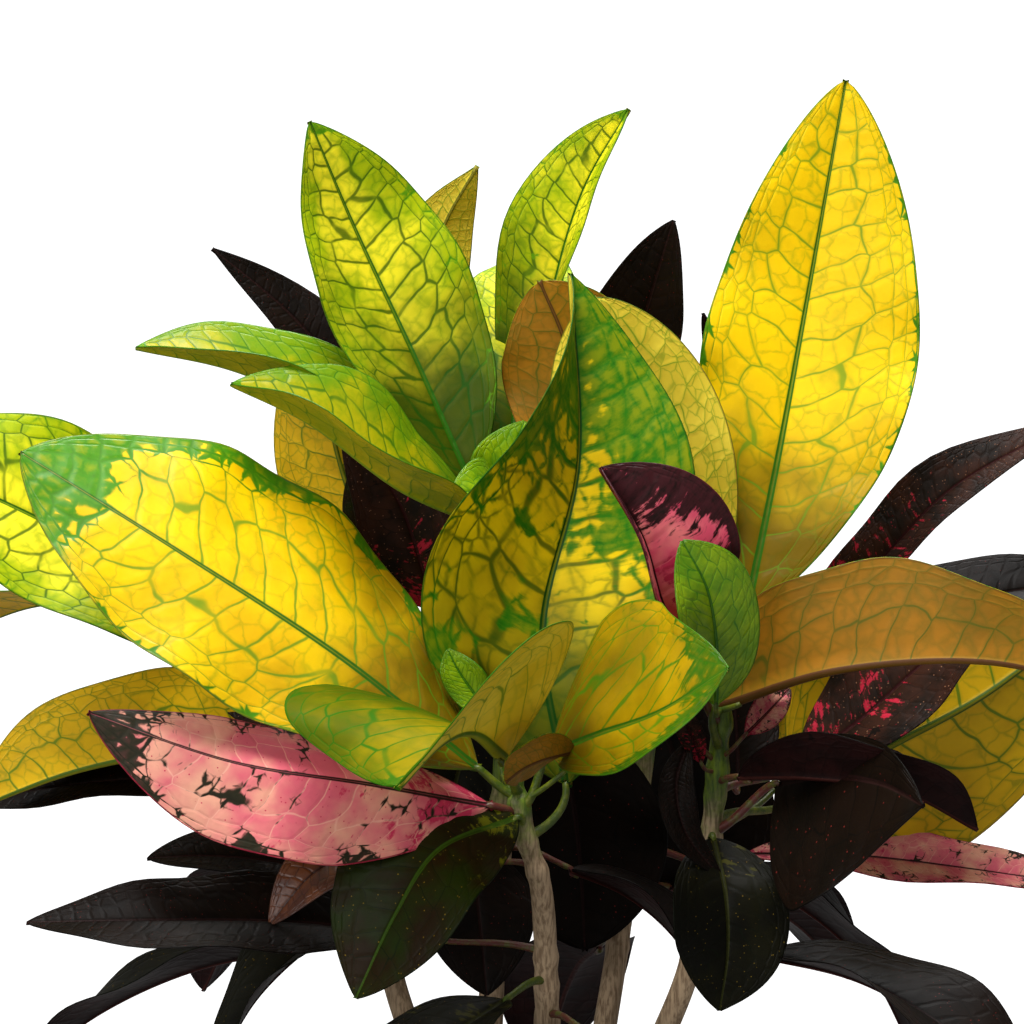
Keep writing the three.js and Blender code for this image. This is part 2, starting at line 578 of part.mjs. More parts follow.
addMesh('pot', pot(), 0x35322f, 0.55);
addMesh('soil', soil(), 0x2a1d14, 0.95);
for (const stem of STEMS) {
  addMesh(`leafy_stem_${stem[0]}`, leafyStem(stem), FOLIAGE_COLOURS[stem[0]], 0.4);
}

export default plant;
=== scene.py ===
# A potted croton with broad, marbled leaves: a plastic pot, soil and five leafy stems.
#
# The script follows the plant as it is put together: pot, soil, stems, leaves, then the studio.
# Sizes and tables are in millimetres and degrees. Meshes are in metres, in the frame's own axes,
# and so are the sizes of patterns on everything but the leaves.

import math
from types import SimpleNamespace

import bpy
import numpy as np
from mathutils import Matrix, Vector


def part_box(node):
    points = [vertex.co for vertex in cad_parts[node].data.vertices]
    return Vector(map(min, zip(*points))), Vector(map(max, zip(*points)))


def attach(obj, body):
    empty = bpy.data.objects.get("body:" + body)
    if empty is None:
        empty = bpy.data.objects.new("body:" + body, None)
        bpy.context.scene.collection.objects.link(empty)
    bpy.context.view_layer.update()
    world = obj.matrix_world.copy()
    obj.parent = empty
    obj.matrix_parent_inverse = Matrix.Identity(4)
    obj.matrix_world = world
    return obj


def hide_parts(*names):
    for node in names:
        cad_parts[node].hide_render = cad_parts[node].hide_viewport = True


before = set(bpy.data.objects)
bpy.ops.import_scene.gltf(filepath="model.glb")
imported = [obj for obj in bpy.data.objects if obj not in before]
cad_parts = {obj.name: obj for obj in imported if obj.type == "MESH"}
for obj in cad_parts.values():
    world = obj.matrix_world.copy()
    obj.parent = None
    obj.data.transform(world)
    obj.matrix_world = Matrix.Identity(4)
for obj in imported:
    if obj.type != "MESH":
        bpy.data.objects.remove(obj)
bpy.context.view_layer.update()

# ---------------------------------------------------------------- pot
# A thin-walled nursery pot, injection moulded in dark grey plastic. It has a turned-out rim
# band, rounded edges, faint mould rings down the wall and six drain holes in its floor.

MM = 0.001
_, pot_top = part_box("pot")
POT_HEIGHT = pot_top[2] / MM
POT_FOOT_RADIUS = 66
POT_MOUTH_RADIUS = 89
POT_WALL = 2.6
POT_FLOOR = 3.2
POT_TURN = 144                      # facets round the pot
POT_HUB = 8                         # radius of the flat middle of the floor
POT_BEVEL = 2                       # at the foot and the lip, before the corners are rounded
POT_ROUNDING = 1.2
INSIDE_MIDDLE = 80                  # height of a ring of points half-way down the inside
RIM_DEPTH = 17
RIM_OVERHANG = 5
BAND_STEP = 1.5                     # height in which the band turns out from the wall
LIP_DEPTH = 3
RING_STEP = 12                      # between mould rings
RING_RELIEF = 0.35
RING_CLEARANCE = 4                  # between the top ring and the band
DRAIN_HOLES = 6
DRAIN_RADIUS = 4.5
DRAIN_CIRCLE = 46
DRAIN_SIDES = 24


def rgb(red, green, blue):
    """A colour as read off a screen, 0 to 255, as Blender's linear colour."""
    shares = np.array([red, green, blue]) / 255
    linear = np.where(shares <= 0.04045, shares / 12.92, ((shares + 0.055) / 1.055) ** 2.4)
    return (*linear.tolist(), 1.0)


class Wash:
    """A value that varies over a surface. Sums on it add Math nodes; node() adds any other."""

    def __init__(self, tree, socket=None):
        self.tree = tree
        self.socket = socket

    def node(self, kind, settings=None, values=None, out=0):
        """Adds a node: its type, its settings, and the values or links of its sockets."""
        node = self.tree.nodes.new("ShaderNode" + kind)
        for key, value in (settings or {}).items():
            setattr(node, key, value)
        for key, value in (values or {}).items():
            if isinstance(value, Wash):
                self.tree.links.new(value.socket, node.inputs[key])
            else:
                node.inputs[key].default_value = value
        return Wash(self.tree, node.outputs[out])

    def other(self, out):
        """Another output of the same node."""
        return Wash(self.tree, self.socket.node.outputs[out])

    def part(self, axis):
        """One part of a vector or a colour: X, Y or Z."""
        return self.node("SeparateXYZ", {}, {0: self}, axis)

    def math(self, operation, *values):
        """A Math node on the given values."""
        return self.node("Math", {"operation": operation}, dict(enumerate(values)))

    def __add__(self, other):
        return self.math("ADD", self, other)

    def __sub__(self, other):
        return self.math("SUBTRACT", self, other)

    def __rsub__(self, other):
        return self.math("SUBTRACT", other, self)

    def __mul__(self, other):
        return self.math("MULTIPLY", self, other)

    def __truediv__(self, other):
        return self.math("DIVIDE", self, other)

    def __rtruediv__(self, other):
        return self.math("DIVIDE", other, self)

    def __abs__(self):
        return self.math("ABSOLUTE", self)

    __radd__ = __add__
    __rmul__ = __mul__


def fade(value, start, end):
    """0 where the value is at start, 1 where it is at end, with soft shoulders."""
    return value.node("MapRange", {"interpolation_type": "SMOOTHSTEP"},
                      {"Value": value, "From Min": start, "From Max": end})


def blend(under, over, share):
    """Two colours laid over each other: share 0 shows the first, 1 the second."""
    return share.node("Mix", {"data_type": "RGBA"}, {0: share, 6: under, 7: over}, 2)


def cloud(where, size, detail=2.0, rough=0.5):
    """Soft noise round 0.5, with lumps of about the given size, in the units of where."""
    return where.node("TexNoise", {"noise_dimensions": "3D"},
                      {"Vector": where, "Scale": 1 / size, "Detail": detail, "Roughness": rough})


def finish(name):
    """An empty material: returns it, its first wash and its shader node."""
    material = bpy.data.materials.new(name)
    material.use_nodes = True
    tree = material.node_tree
    return material, Wash(tree), tree.nodes["Principled BSDF"]


def coat(shader, **values):
    """Sets or links the shader's sockets, named with _ for a space."""
    for key, value in values.items():
        socket = shader.inputs[key.replace("_", " ")]
        if isinstance(value, Wash):
            value.tree.links.new(value.socket, socket)
        else:
            socket.default_value = value


def relief(height, depth):
    """A bump whose height runs from 0 to 1 over the given depth in metres."""
    return height.node("Bump", {}, {"Strength": 1.0, "Distance": depth, "Height": height})


def piece(name, points, faces, materials, face_slots=None, smooth=True):
    """A mesh object from points in metres."""
    mesh = bpy.data.meshes.new(name)
    mesh.from_pydata(np.asarray(points).tolist(), [], faces)
    for material in materials:
        mesh.materials.append(material)
    if face_slots is not None:
        mesh.polygons.foreach_set("material_index", face_slots)
    mesh.polygons.foreach_set("use_smooth", [smooth] * len(mesh.polygons))
    mesh.update()
    item = bpy.data.objects.new(name, mesh)
    bpy.context.collection.objects.link(item)
    return item


def circle(count):
    """Evenly spaced angles round a full turn."""
    return np.arange(count) * 2 * math.pi / count


def tube_faces(rings, sides):
    """Faces of a tube whose rings of points follow one another, closed by a flat face at each end."""
    faces = []
    for i in range(rings - 1):
        for k in range(sides):
            after = (k + 1) % sides
            faces.append((i * sides + k, i * sides + after, (i + 1) * sides + after, (i + 1) * sides + k))
    faces.append(tuple(range(sides))[::-1])
    faces.append(tuple(range((rings - 1) * sides, rings * sides)))
    return faces


def wall_radius(z):
    """Outside radius of the pot's wall at a height."""
    return POT_FOOT_RADIUS + (POT_MOUTH_RADIUS - POT_FOOT_RADIUS) * z / POT_HEIGHT


def rounded(profile, reach):
    """A profile with each corner cut into a short round of three points."""
    points = [np.array(p, float) for p in profile]
    out = [points[0]]
    for before, corner, after in zip(points, points[1:], points[2:]):
        back = np.linalg.norm(before - corner)
        onward = np.linalg.norm(after - corner)
        cut = min(reach, 0.4 * back, 0.4 * onward)
        first = corner + (before - corner) / back * cut
        last = corner + (after - corner) / onward * cut
        out += [first, 0.25 * first + 0.5 * corner + 0.25 * last, last]
    return out + [points[-1]]


def pot_profile():
    """The pot's section: foot, wall with faint rings, rim band, lip and the inside."""
    band = POT_HEIGHT - RIM_DEPTH
    lip = POT_HEIGHT - LIP_DEPTH
    rim = wall_radius(POT_HEIGHT)
    wall = [(wall_radius(z) + RING_RELIEF * (k % 2), z)
            for k, z in enumerate(np.arange(RING_STEP, band - RING_CLEARANCE, RING_STEP / 2))]
    outside = [(POT_HUB, 0), (POT_FOOT_RADIUS - POT_BEVEL, 0), (wall_radius(POT_BEVEL), POT_BEVEL), *wall]
    rim_band = [(wall_radius(band), band), (wall_radius(band) + RIM_OVERHANG - 1, band + BAND_STEP),
                (rim + RIM_OVERHANG, lip), (rim + RIM_OVERHANG - POT_BEVEL, POT_HEIGHT),
                (rim - 1, POT_HEIGHT)]
    inside = [(wall_radius(z) - POT_WALL, z) for z in (lip, INSIDE_MIDDLE, POT_FLOOR)]
    return rounded([*outside, *rim_band, *inside, (POT_HUB, POT_FLOOR)], POT_ROUNDING)


def pot_plastic():
    """Dark grey moulded plastic: a fine grain, a few dull scuffs and dust towards the rim."""
    material, paint, shader = finish("dark_plastic")
    where = paint.node("TexCoord", {}, {}, "Object")
    grain = cloud(where, 0.0006, 3)
    scuffs = fade(cloud(where, 0.02, 6, 0.65), 0.52, 0.7)
    dust = fade(where.part("Z") + cloud(where, 0.03, 4) * 0.06, 0.12, 0.2) * 0.35
    colour = blend(rgb(44, 42, 40), rgb(60, 57, 53), scuffs * 0.6)
    coat(shader, Base_Color=blend(colour, rgb(96, 84, 70), dust),
         Roughness=0.42 + grain * 0.1 + scuffs * 0.15, Normal=relief(grain, 0.0001))
    return material


def pot_body():
    """The pot, turned round the upright axis from its section."""
    profile = np.array(pot_profile()) * MM
    points = [[r * math.cos(a), r * math.sin(a), z] for r, z in profile for a in circle(POT_TURN)]
    return piece("nursery_pot", points, tube_faces(len(profile), POT_TURN), [pot_plastic()])


def drain_drills():
    """The six round plugs that are cut out of the pot's floor, as one object."""
    points = []
    faces = []
    for turn in circle(DRAIN_HOLES):
        first = len(points)
        points += [[DRAIN_CIRCLE * math.cos(turn) + DRAIN_RADIUS * math.cos(a),
                    DRAIN_CIRCLE * math.sin(turn) + DRAIN_RADIUS * math.sin(a), z]
                   for z in (-POT_FLOOR, 2 * POT_FLOOR) for a in circle(DRAIN_SIDES)]
        faces += [tuple(v + first for v in face) for face in tube_faces(2, DRAIN_SIDES)]
    return piece("drain_drills", np.array(points) * MM, faces, [])


def drilled(item, drills):
    """Cuts the drills out of an object and removes them."""
    cut = item.modifiers.new("drain", "BOOLEAN")
    cut.operation = "DIFFERENCE"
    cut.object = drills
    graph = bpy.context.evaluated_depsgraph_get()
    shape = bpy.data.meshes.new_from_object(item.evaluated_get(graph))
    item.modifiers.clear()
    item.data = shape
    bpy.data.objects.remove(drills)
    return item


pot = drilled(pot_body(), drain_drills())
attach(pot, "root")
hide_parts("pot")

# ---------------------------------------------------------------- soil
# Dark potting compost, filled by hand to a finger below the rim: a crumbly, slightly heaped
# surface that dips at the wall, with loose crumbs, bark chips and white perlite on it.

SOIL_TOP = 149
SOIL_DIP = 4                        # how much lower the surface lies at the wall
SOIL_RELIEF = 2.2
SOIL_GRIT = 0.6
SOIL_COLLAR = 12                    # below the top, where the ring under the surface lies
SOIL_GAP = 0.35
SOIL_TURN = 120
SOIL_RINGS = 34
CRUMBS = 420
CRUMB_SIZES = (0.9, 3.0)
PERLITES = 52
PERLITE_SIZES = (0.8, 1.8)
CRUMB_CLEARANCE = 5                 # between the loose lumps and the pot's wall
CRUMB_LIFT = 0.25                   # of a lump's middle above the surface, as a share of its size
SOIL_SEED = 11


def inner_radius(z):
    """Radius inside the pot's wall at a height above its floor."""
    spread = (POT_MOUTH_RADIUS - POT_FOOT_RADIUS) * (z - POT_FLOOR) / (POT_HEIGHT - POT_FLOOR)
    return POT_FOOT_RADIUS + spread - POT_WALL


def soil_height(x, y):
    """Height of the soil's surface: the dome, its lumps, and the crumbs between them."""
    r = np.hypot(x, y)
    lumps = (np.sin(x * 0.21 + y * 0.09) + np.sin(y * 0.24 - x * 0.13 + 1.7)
             + 0.8 * np.sin(x * 0.43 + 0.6) * np.sin(y * 0.39 + 2.1))
    grit = np.sin(x * 1.3 + 2 * np.sin(y * 0.7)) * np.sin(y * 1.5 + 2 * np.sin(x * 0.8 + 1))
    dome = SOIL_TOP - SOIL_DIP * (r / inner_radius(SOIL_TOP)) ** 4
    return dome + SOIL_RELIEF * lumps / 2.8 + SOIL_GRIT * grit


def compost(name, dark, light):
    """Moist compost: brown crumbs of two tones, matt, rough down to the grain."""
    material, paint, shader = finish(name)
    where = paint.node("TexCoord", {}, {}, "Object")
    lumps = cloud(where, 0.006, 6, 0.7)
    grain = cloud(where, 0.0015, 4, 0.7)
    colour = blend(dark, light, fade(lumps * 0.6 + grain * 0.4, 0.4, 0.68))
    coat(shader, Base_Color=colour, Roughness=0.95 - 0.2 * grain, Normal=relief(grain + lumps, 0.0012))
    return material


def soil_body():
    """The filling: a fine crumbly top on a plain tapered body."""
    points = [[0, 0, soil_height(0, 0)]]
    rim = inner_radius(SOIL_TOP) - SOIL_GAP
    angles = circle(SOIL_TURN)
    for r in rim * np.arange(1, SOIL_RINGS + 1) / SOIL_RINGS:
        points += [[r * math.cos(a), r * math.sin(a), soil_height(r * math.cos(a), r * math.sin(a))]
                   for a in angles]
    for z in (SOIL_TOP - SOIL_COLLAR, POT_FLOOR + SOIL_GAP):
        r = inner_radius(z) - SOIL_GAP
        points += [[r * math.cos(a), r * math.sin(a), z] for a in angles]
    faces = []
    for k in range(SOIL_TURN):
        after = (k + 1) % SOIL_TURN
        faces.append((0, 1 + k, 1 + after))
        for ring in range(SOIL_RINGS + 1):
            a = 1 + ring * SOIL_TURN
            b = a + SOIL_TURN
            faces.append((a + k, b + k, b + after, a + after))
    last = 1 + (SOIL_RINGS + 1) * SOIL_TURN
    faces.append(tuple(range(last, last + SOIL_TURN))[::-1])
    return piece("soil_filling", np.array(points) * MM, faces,
                 [compost("compost", rgb(24, 16, 11), rgb(64, 45, 31))])


def crumb(draw, size):
    """Points and faces of one loose lump: a squashed octahedron of random proportions."""
    corners = np.array([[1, 0, 0], [-1, 0, 0], [0, 1, 0], [0, -1, 0], [0, 0, 1], [0, 0, -1]], float)
    corners *= draw.uniform(0.55, 1.25, (6, 1)) * size * np.array([1, draw.uniform(0.6, 1), 0.6])
    turn = draw.uniform(0, 2 * math.pi)
    spin = np.array([[math.cos(turn), -math.sin(turn), 0], [math.sin(turn), math.cos(turn), 0], [0, 0, 1]])
    faces = [(0, 2, 4), (2, 1, 4), (1, 3, 4), (3, 0, 4), (2, 0, 5), (1, 2, 5), (3, 1, 5), (0, 3, 5)]
    return corners @ spin.T, faces


def loose_lumps(name, count, sizes, materials, seed):
    """Loose lumps scattered on the soil, clear of the pot's wall and sunk in a little."""
    draw = np.random.default_rng(seed)
    points = []
    faces = []
    for _ in range(count):
        r = (inner_radius(SOIL_TOP) - CRUMB_CLEARANCE) * math.sqrt(draw.uniform())
        a = draw.uniform(0, 2 * math.pi)
        x, y = r * math.cos(a), r * math.sin(a)
        size = draw.uniform(*sizes)
        corners, sides = crumb(draw, size)
        faces += [tuple(v + len(points) for v in side) for side in sides]
        points += (corners + [x, y, soil_height(x, y) + size * CRUMB_LIFT]).tolist()
    return piece(name, np.array(points) * MM, faces, materials, smooth=False)


soil = soil_body()
crumbs = loose_lumps("soil_crumbs", CRUMBS, CRUMB_SIZES,
                     [compost("bark_crumb", rgb(38, 24, 15), rgb(92, 62, 40))], SOIL_SEED)
perlite = loose_lumps("soil_perlite", PERLITES, PERLITE_SIZES,
                      [compost("perlite", rgb(150, 144, 132), rgb(214, 208, 196))], SOIL_SEED + 1)
for item in (soil, crumbs, perlite):
    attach(item, "root")
    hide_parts("soil")

# ---------------------------------------------------------------- stems
# Five cuttings grown on together. Each stem is woody and beige-grey at the foot and green
# towards its tip, slightly thickened under every leaf and a little narrower just above it.

STEM_FOOT = 92                      # height of the lower ends, deep in the soil
STEM_SIDES = 28
STEM_STEPS = 90
SWELLING = 0.55                     # of the radius, just below a leaf
SWELLING_LENGTH = 2.6
SCAR = 0.25                         # off the radius, just above it
SCAR_LENGTH = 2.2
BUD_STEPS = [[1.5], [4], [7], [9]]  # from the tip to each ring of the bud
BUD_SHARES = [0.92, 0.7, 0.35, 0.05]  # radius of those rings, as shares of the tip's

# Stems, from the soil to the growing tip: points (x, y, z), radius at the soil and at the tip.
STEMS = {
    "front": ([[15, -35, 150], [14, -43, 195], [13, -50, 232], [11, -57, 255], [6, -60, 272],
      [3, -62, 286], [2, -62, 296]], 5.2, 3.2),
    "right": ([[45, -15, 150], [58, -23, 182], [70, -31, 215], [76, -36, 250], [80, -39, 285],
      [82, -40, 312], [83, -42, 326]], 5.0, 3.6),
    "centre": ([[-10, 8, 150], [-8, 6, 205], [-5, 4, 260], [-2, 1, 320], [-1, -2, 370],
      [-3, -6, 398]], 5.4, 3.2),
    "back_right": ([[35, 40, 150], [43, 48, 205], [51, 55, 260], [58, 58, 310], [65, 60, 350],
      [70, 60, 386]], 5.0, 3.2),
    "back_left": ([[-35, 30, 150], [-48, 37, 195], [-60, 42, 240], [-70, 44, 280], [-77, 43, 310],
      [-80, 40, 330]], 5.0, 3.4),
}

# What grows on the stems. First the leaves whose form was read one by one. Each row gives the
# name, the colour kind, the stem and the height where its stalk leaves it, four points of the
# midrib from blade base to tip, the half width, the direction the upper face looks, and what is
# particular to that leaf: fold (degrees at base and tip), lean (the same, added on the right
# side), sides (width of each side), widest (share of the length where it is broadest), wave of
# the margin and turn (face at the tip).
READ_LEAVES = [
    ["gold_front_left", "gold_tip", "front", 290,
      [[-13, -66, 302], [-64, -84, 347], [-126, -90, 389], [-188, -84, 427]],
      49, [0.1, -0.8, 0.62], {"fold": [-14, -10], "wave": 3, "widest": 0.54, "sides": [0.84, 1.26]}],
    ["pink_front_left", "pink", "front", 283,
      [[-8, -70, 288], [-54, -92, 300], [-107, -100, 310], [-162, -95, 328]],
      35, [-0.1, -0.8, 0.5], {"fold": [-25, -20], "widest": 0.5, "sides": [0.95, 0.68]}],
    ["green_front_low", "deep", "front", 278,
      [[2, -68, 283], [-28, -88, 274], [-45, -98, 250], [-60, -100, 218]],
      31, [-0.3, -0.8, 0.5], {"fold": [12, 12]}],
    ["lime_front_curl", "lime_curl", "front", 292,
      [[-3, -84, 309], [-15, -117, 324], [-27, -152, 325], [-42, -176, 312]],
      60, [-0.3, -0.1, 0.95], {"fold": [33, 33], "lean": [14, -34], "sides": [1, 1.12]}],
    ["gold_front_curl", "gold_curl", "front", 286,
      [[15, -72, 309], [32, -97, 320], [55, -126, 333], [80, -146, 352]],
      50, [-0.75, -0.44, 0.39], {"fold": [8, 0], "widest": 0.5, "sides": [1, 0.38]}],
    ["ochre_front_small", "orange", "front", 288,
      [[24, -84, 312], [13, -95, 311], [4, -102, 308], [-3, -107, 303]],
      11, [0.2, 0.8, 0.5], {}],
    ["green_centre_tall", "flood", "front", 274,
      [[21, -58, 294], [12, -55, 355], [26, -45, 420], [23, -25, 492]],
      51, [-0.4, -0.9, 0.12], {"fold": [-12, 50], "lean": [14, -18], "turn": [0.75, -0.65, 0]}],
    ["green_front_small", "young", "front", 291,
      [[-8, -60, 322], [-15, -61, 331], [-21, -62, 340], [-25, -62, 348]],
      8, [-0.3, -0.8, 0.5], {}],
    ["rust_front_low", "rust", "front", 262,
      [[-20, -50, 262], [-48, -56, 268], [-75, -62, 262], [-95, -66, 240]],
      15, [-0.2, -0.7, 0.7], {}],
    ["dark_front_low", "dark", "front", 226,
      [[-30, -44, 230], [-80, -60, 240], [-135, -75, 244], [-189, -70, 242]],
      21, [0, -0.6, 0.8], {}],

    ["pink_right_upright", "pink_dark", "right", 316,
      [[69, -60, 346], [58, -76, 367], [50, -82, 394], [34, -82, 421]],
      34, [0.7, -0.7, 0.2], {"fold": [45, 45], "widest": 0.56, "sides": [0.5, 1]}],
    ["young_right", "young", "right", 322,
      [[79, -70, 327], [79, -80, 349], [75, -90, 374], [65, -94, 394]],
      18, [0.3, -0.9, 0.1], {"fold": [20, 20], "widest": 0.55}],
    ["orange_right_arch", "orange", "right", 306,
      [[81, -50, 324], [126, -75, 342], [181, -88, 347], [230, -90, 336]],
      40, [0, 0.7, 0.7], {"fold": [45, 45], "widest": 0.38}],
    ["gold_right_tall", "gold_net", "right", 320,
      [[93, -15, 355], [107, 5, 419], [119, 15, 483], [133, 10, 567]],
      46, [-0.15, -1, 0.1], {"fold": [8, 8], "wave": 2.5, "widest": 0.53, "sides": [0.82, 1.06]}],
    ["khaki_centre_right", "khaki", "right", 317,
      [[74, -22, 340], [62, -19, 382], [49, -15, 430], [32, -13, 482]],
      36, [0, 1, 0.1], {"widest": 0.6}],
    ["crimson_right", "crimson", "right", 288,
      [[115, -10, 295], [140, -12, 314], [168, -10, 339], [200, -10, 361]],
      24, [-0.3, -0.7, 0.6], {}],
    ["yellow_right_low", "ochre", "right", 276,
      [[115, 0, 279], [148, 15, 296], [192, 25, 318], [235, 30, 350]],
      58, [0.3, 0.9, 0.3], {"fold": [10, 10], "widest": 0.42}],
    ["pink_right_low", "pink", "right", 236,
      [[95, 10, 255], [140, 18, 253], [188, 20, 247], [233, 20, 240]],
      16, [0, -0.5, 0.85], {}],
    ["dark_right_tail", "dark", "right", 292,
      [[89, -55, 297], [116, -80, 301], [150, -95, 298], [179, -90, 282]],
      22, [0, 0.3, 0.95], {"fold": [40, 40]}],
    ["dark_right_broad", "dark", "right", 272,
      [[104, -52, 294], [122, -80, 301], [140, -110, 303], [154, -136, 299]],
      48, [-0.76, -0.46, 0.37], {"fold": [6, 6], "widest": 0.42, "sides": [0.35, 1.15]}],
    ["olive_right_hanging", "olive", "right", 264,
      [[79, -50, 272], [83, -70, 254], [84, -72, 231], [81, -70, 207]],
      24, [0.2, -0.9, 0.3], {}],
    ["dark_right_twisted", "dark", "right", 300,
      [[69, -52, 310], [64, -62, 295], [68, -66, 276], [82, -64, 258]],
      7, [-0.3, -0.9, 0], {"turn": [0.6, -0.7, 0]}],
    ["red_right_small", "crimson", "right", 296,
      [[74, -52, 302], [71, -56, 311], [68, -59, 319], [67, -60, 327]],
      5, [-0.2, -1, 0], {}],
    ["pink_right_small", "pink", "right", 302,
      [[92, -48, 313], [98, -43, 318], [104, -36, 323], [110, -30, 328]],
      6, [-0.2, -1, 0.2], {}],
    ["dark_right_shade", "dark", "right", 298,
      [[90, -19, 287], [90, -13, 302], [89, -7, 319], [87, 0, 337]],
      17, [0, -1, 0.1], {}],
    ["yellow_right_small", "ochre", "right", 270,
      [[112, 10, 290], [122, 12, 307], [130, 12, 325], [136, 10, 342]],
      20, [0.2, 1, 0], {}],

    ["lime_left_upper", "lime", "centre", 380,
      [[-23, -5, 404], [-64, -15, 433], [-107, -25, 454], [-148, -25, 463]],
      28, [0.2, -0.25, 0.95], {"fold": [35, 35]}],
    ["lime_left_lower", "lime", "centre", 372,
      [[-13, -25, 394], [-44, -45, 410], [-78, -55, 436], [-109, -55, 451]],
      30, [0.2, -0.35, 0.93], {"fold": [40, 40]}],
    ["gold_left_tall", "limegold", "centre", 386,
      [[-16, -5, 406], [-38, 5, 455], [-62, 5, 507], [-80, -5, 551]],
      34, [0.4, -0.9, 0.15], {"fold": [25, 20]}],
    ["dark_left_upper", "dark", "centre", 384,
      [[-35, 15, 410], [-62, 25, 441], [-90, 30, 473], [-121, 30, 499]],
      14, [-0.1, -0.9, 0.4], {"fold": [12, 12], "widest": 0.4, "sides": [0.8, 1.1]}],
    ["khaki_left_back", "khaki", "centre", 388,
      [[-38, 45, 428], [-38, 50, 465], [-29, 48, 504], [-14, 40, 532]],
      17, [0, 1, 0.1], {"fold": [12, 12], "widest": 0.4}],
    ["lime_centre_back", "limegold", "centre", 392,
      [[7, 35, 422], [15, 42, 473], [28, 40, 520], [47, 32, 555]],
      25, [-0.7, -0.7, 0], {"fold": [40, 40]}],
    ["orange_centre", "orange", "centre", 376,
      [[15, 10, 391], [25, 5, 427], [22, 0, 460], [11, -5, 488]],
      28, [0, 1, 0.1], {"fold": [12, 12], "widest": 0.56}],
    ["dark_inner_middle", "dark", "centre", 300,
      [[16, 24, 307], [24, 34, 278], [28, 38, 246], [30, 38, 210]],
      37, [-0.1, -0.9, 0.4], {"fold": [8, 8], "widest": 0.55}],
    ["olive_inner_left", "olive", "centre", 316,
      [[-14, 20, 323], [-20, 27, 294], [-29, 29, 254], [-34, 28, 212]],
      27, [-0.1, -0.9, 0.4], {"fold": [8, 8]}],
    ["dark_inner_front", "dark", "centre", 262,
      [[-14, -16, 264], [-14, -20, 246], [-12, -24, 226], [-10, -26, 204]],
      22, [0, -1, 0.2], {"fold": [6, 6]}],
    ["ochre_left_back", "ochre", "centre", 340,
      [[-52, 40, 359], [-64, 45, 391], [-74, 45, 428], [-76, 40, 480]],
      27, [0, 1, 0.1], {}],
    ["green_left_inner", "deep", "centre", 336,
      [[-43, 20, 353], [-51, 20, 373], [-59, 20, 394], [-65, 20, 410]],
      11, [-0.3, -1, 0], {}],
    ["crimson_left_inner", "crimson", "centre", 345,
      [[-32, 0, 356], [-37, 5, 375], [-47, 10, 401], [-68, 12, 427]],
      20, [-0.2, -1, 0], {}],
    ["young_centre_left", "young", "centre", 394,
      [[2, -22, 397], [-4, -32, 402], [-12, -40, 407], [-24, -45, 408]],
      16, [-0.1, -0.6, 0.8], {"fold": [25, 25]}],
    ["young_centre_up", "young", "centre", 395,
      [[-4, -15, 397], [-4, -16, 409], [0, -16, 421], [5, -15, 433]],
      13, [-0.4, -0.9, 0], {"fold": [25, 25]}],
    ["dark_centre_twisted", "dark", "centre", 393,
      [[17, -24, 420], [6, -36, 408], [-12, -42, 399], [-34, -44, 384]],
      7, [-0.2, -0.7, 0.7], {"turn": [0.2, -0.3, 0.9]}],

    ["speckled_right_back", "crimson", "back_right", 330,
      [[113, 30, 336], [150, 35, 372], [182, 45, 402], [231, 50, 428]],
      17, [-0.3, -0.7, 0.6], {"sides": [1, 0.7]}],
    ["dark_right_back", "dark", "back_right", 318,
      [[119, 70, 325], [161, 75, 340], [203, 79, 353], [245, 80, 357]],
      22, [0, -0.6, 0.8], {}],
    ["black_back_upright", "dark", "back_right", 378,
      [[40, 66, 406], [46, 68, 440], [56, 64, 475], [66, 58, 509]],
      22, [-0.4, -0.9, 0], {"fold": [20, 20]}],
    ["dark_inner_right", "dark", "back_right", 304,
      [[62, 72, 300], [71, 82, 274], [77, 86, 244], [80, 86, 208]],
      36, [0.1, -0.9, 0.4], {"fold": [8, 8]}],
    ["dark_back_slim", "dark", "back_right", 382,
      [[74, 72, 398], [82, 76, 425], [84, 76, 448], [79, 74, 470]],
      5, [0, -1, 0.1], {}],

    ["gold_far_left", "limegold", "back_left", 326,
      [[-90, 20, 341], [-149, 5, 371], [-206, -10, 402], [-263, -15, 425]],
      42, [0.1, -0.75, 0.6], {"fold": [14, 14], "wave": 3}],
    ["ochre_left_arch", "ochre", "back_left", 304,
      [[-85, 2, 304], [-129, -8, 301], [-174, -14, 293], [-217, -15, 277]],
      34, [0, 0.7, 0.7], {"fold": [45, 45]}],
    ["dark_left_arch", "dark", "back_left", 282,
      [[-106, 14, 285], [-148, 10, 286], [-188, 10, 282], [-226, 10, 274]],
      16, [0, -0.5, 0.85], {}],
    ["crimson_left_low", "crimson", "back_left", 300,
      [[-66, 8, 305], [-88, 5, 316], [-108, 5, 325], [-127, 5, 332]],
      18, [-0.2, -0.8, 0.6], {}],
    ["dark_left_low", "dark", "back_left", 240,
      [[-72, -12, 250], [-95, -24, 258], [-121, -34, 262], [-144, -40, 262]],
      14, [0, -0.6, 0.8], {}],
]

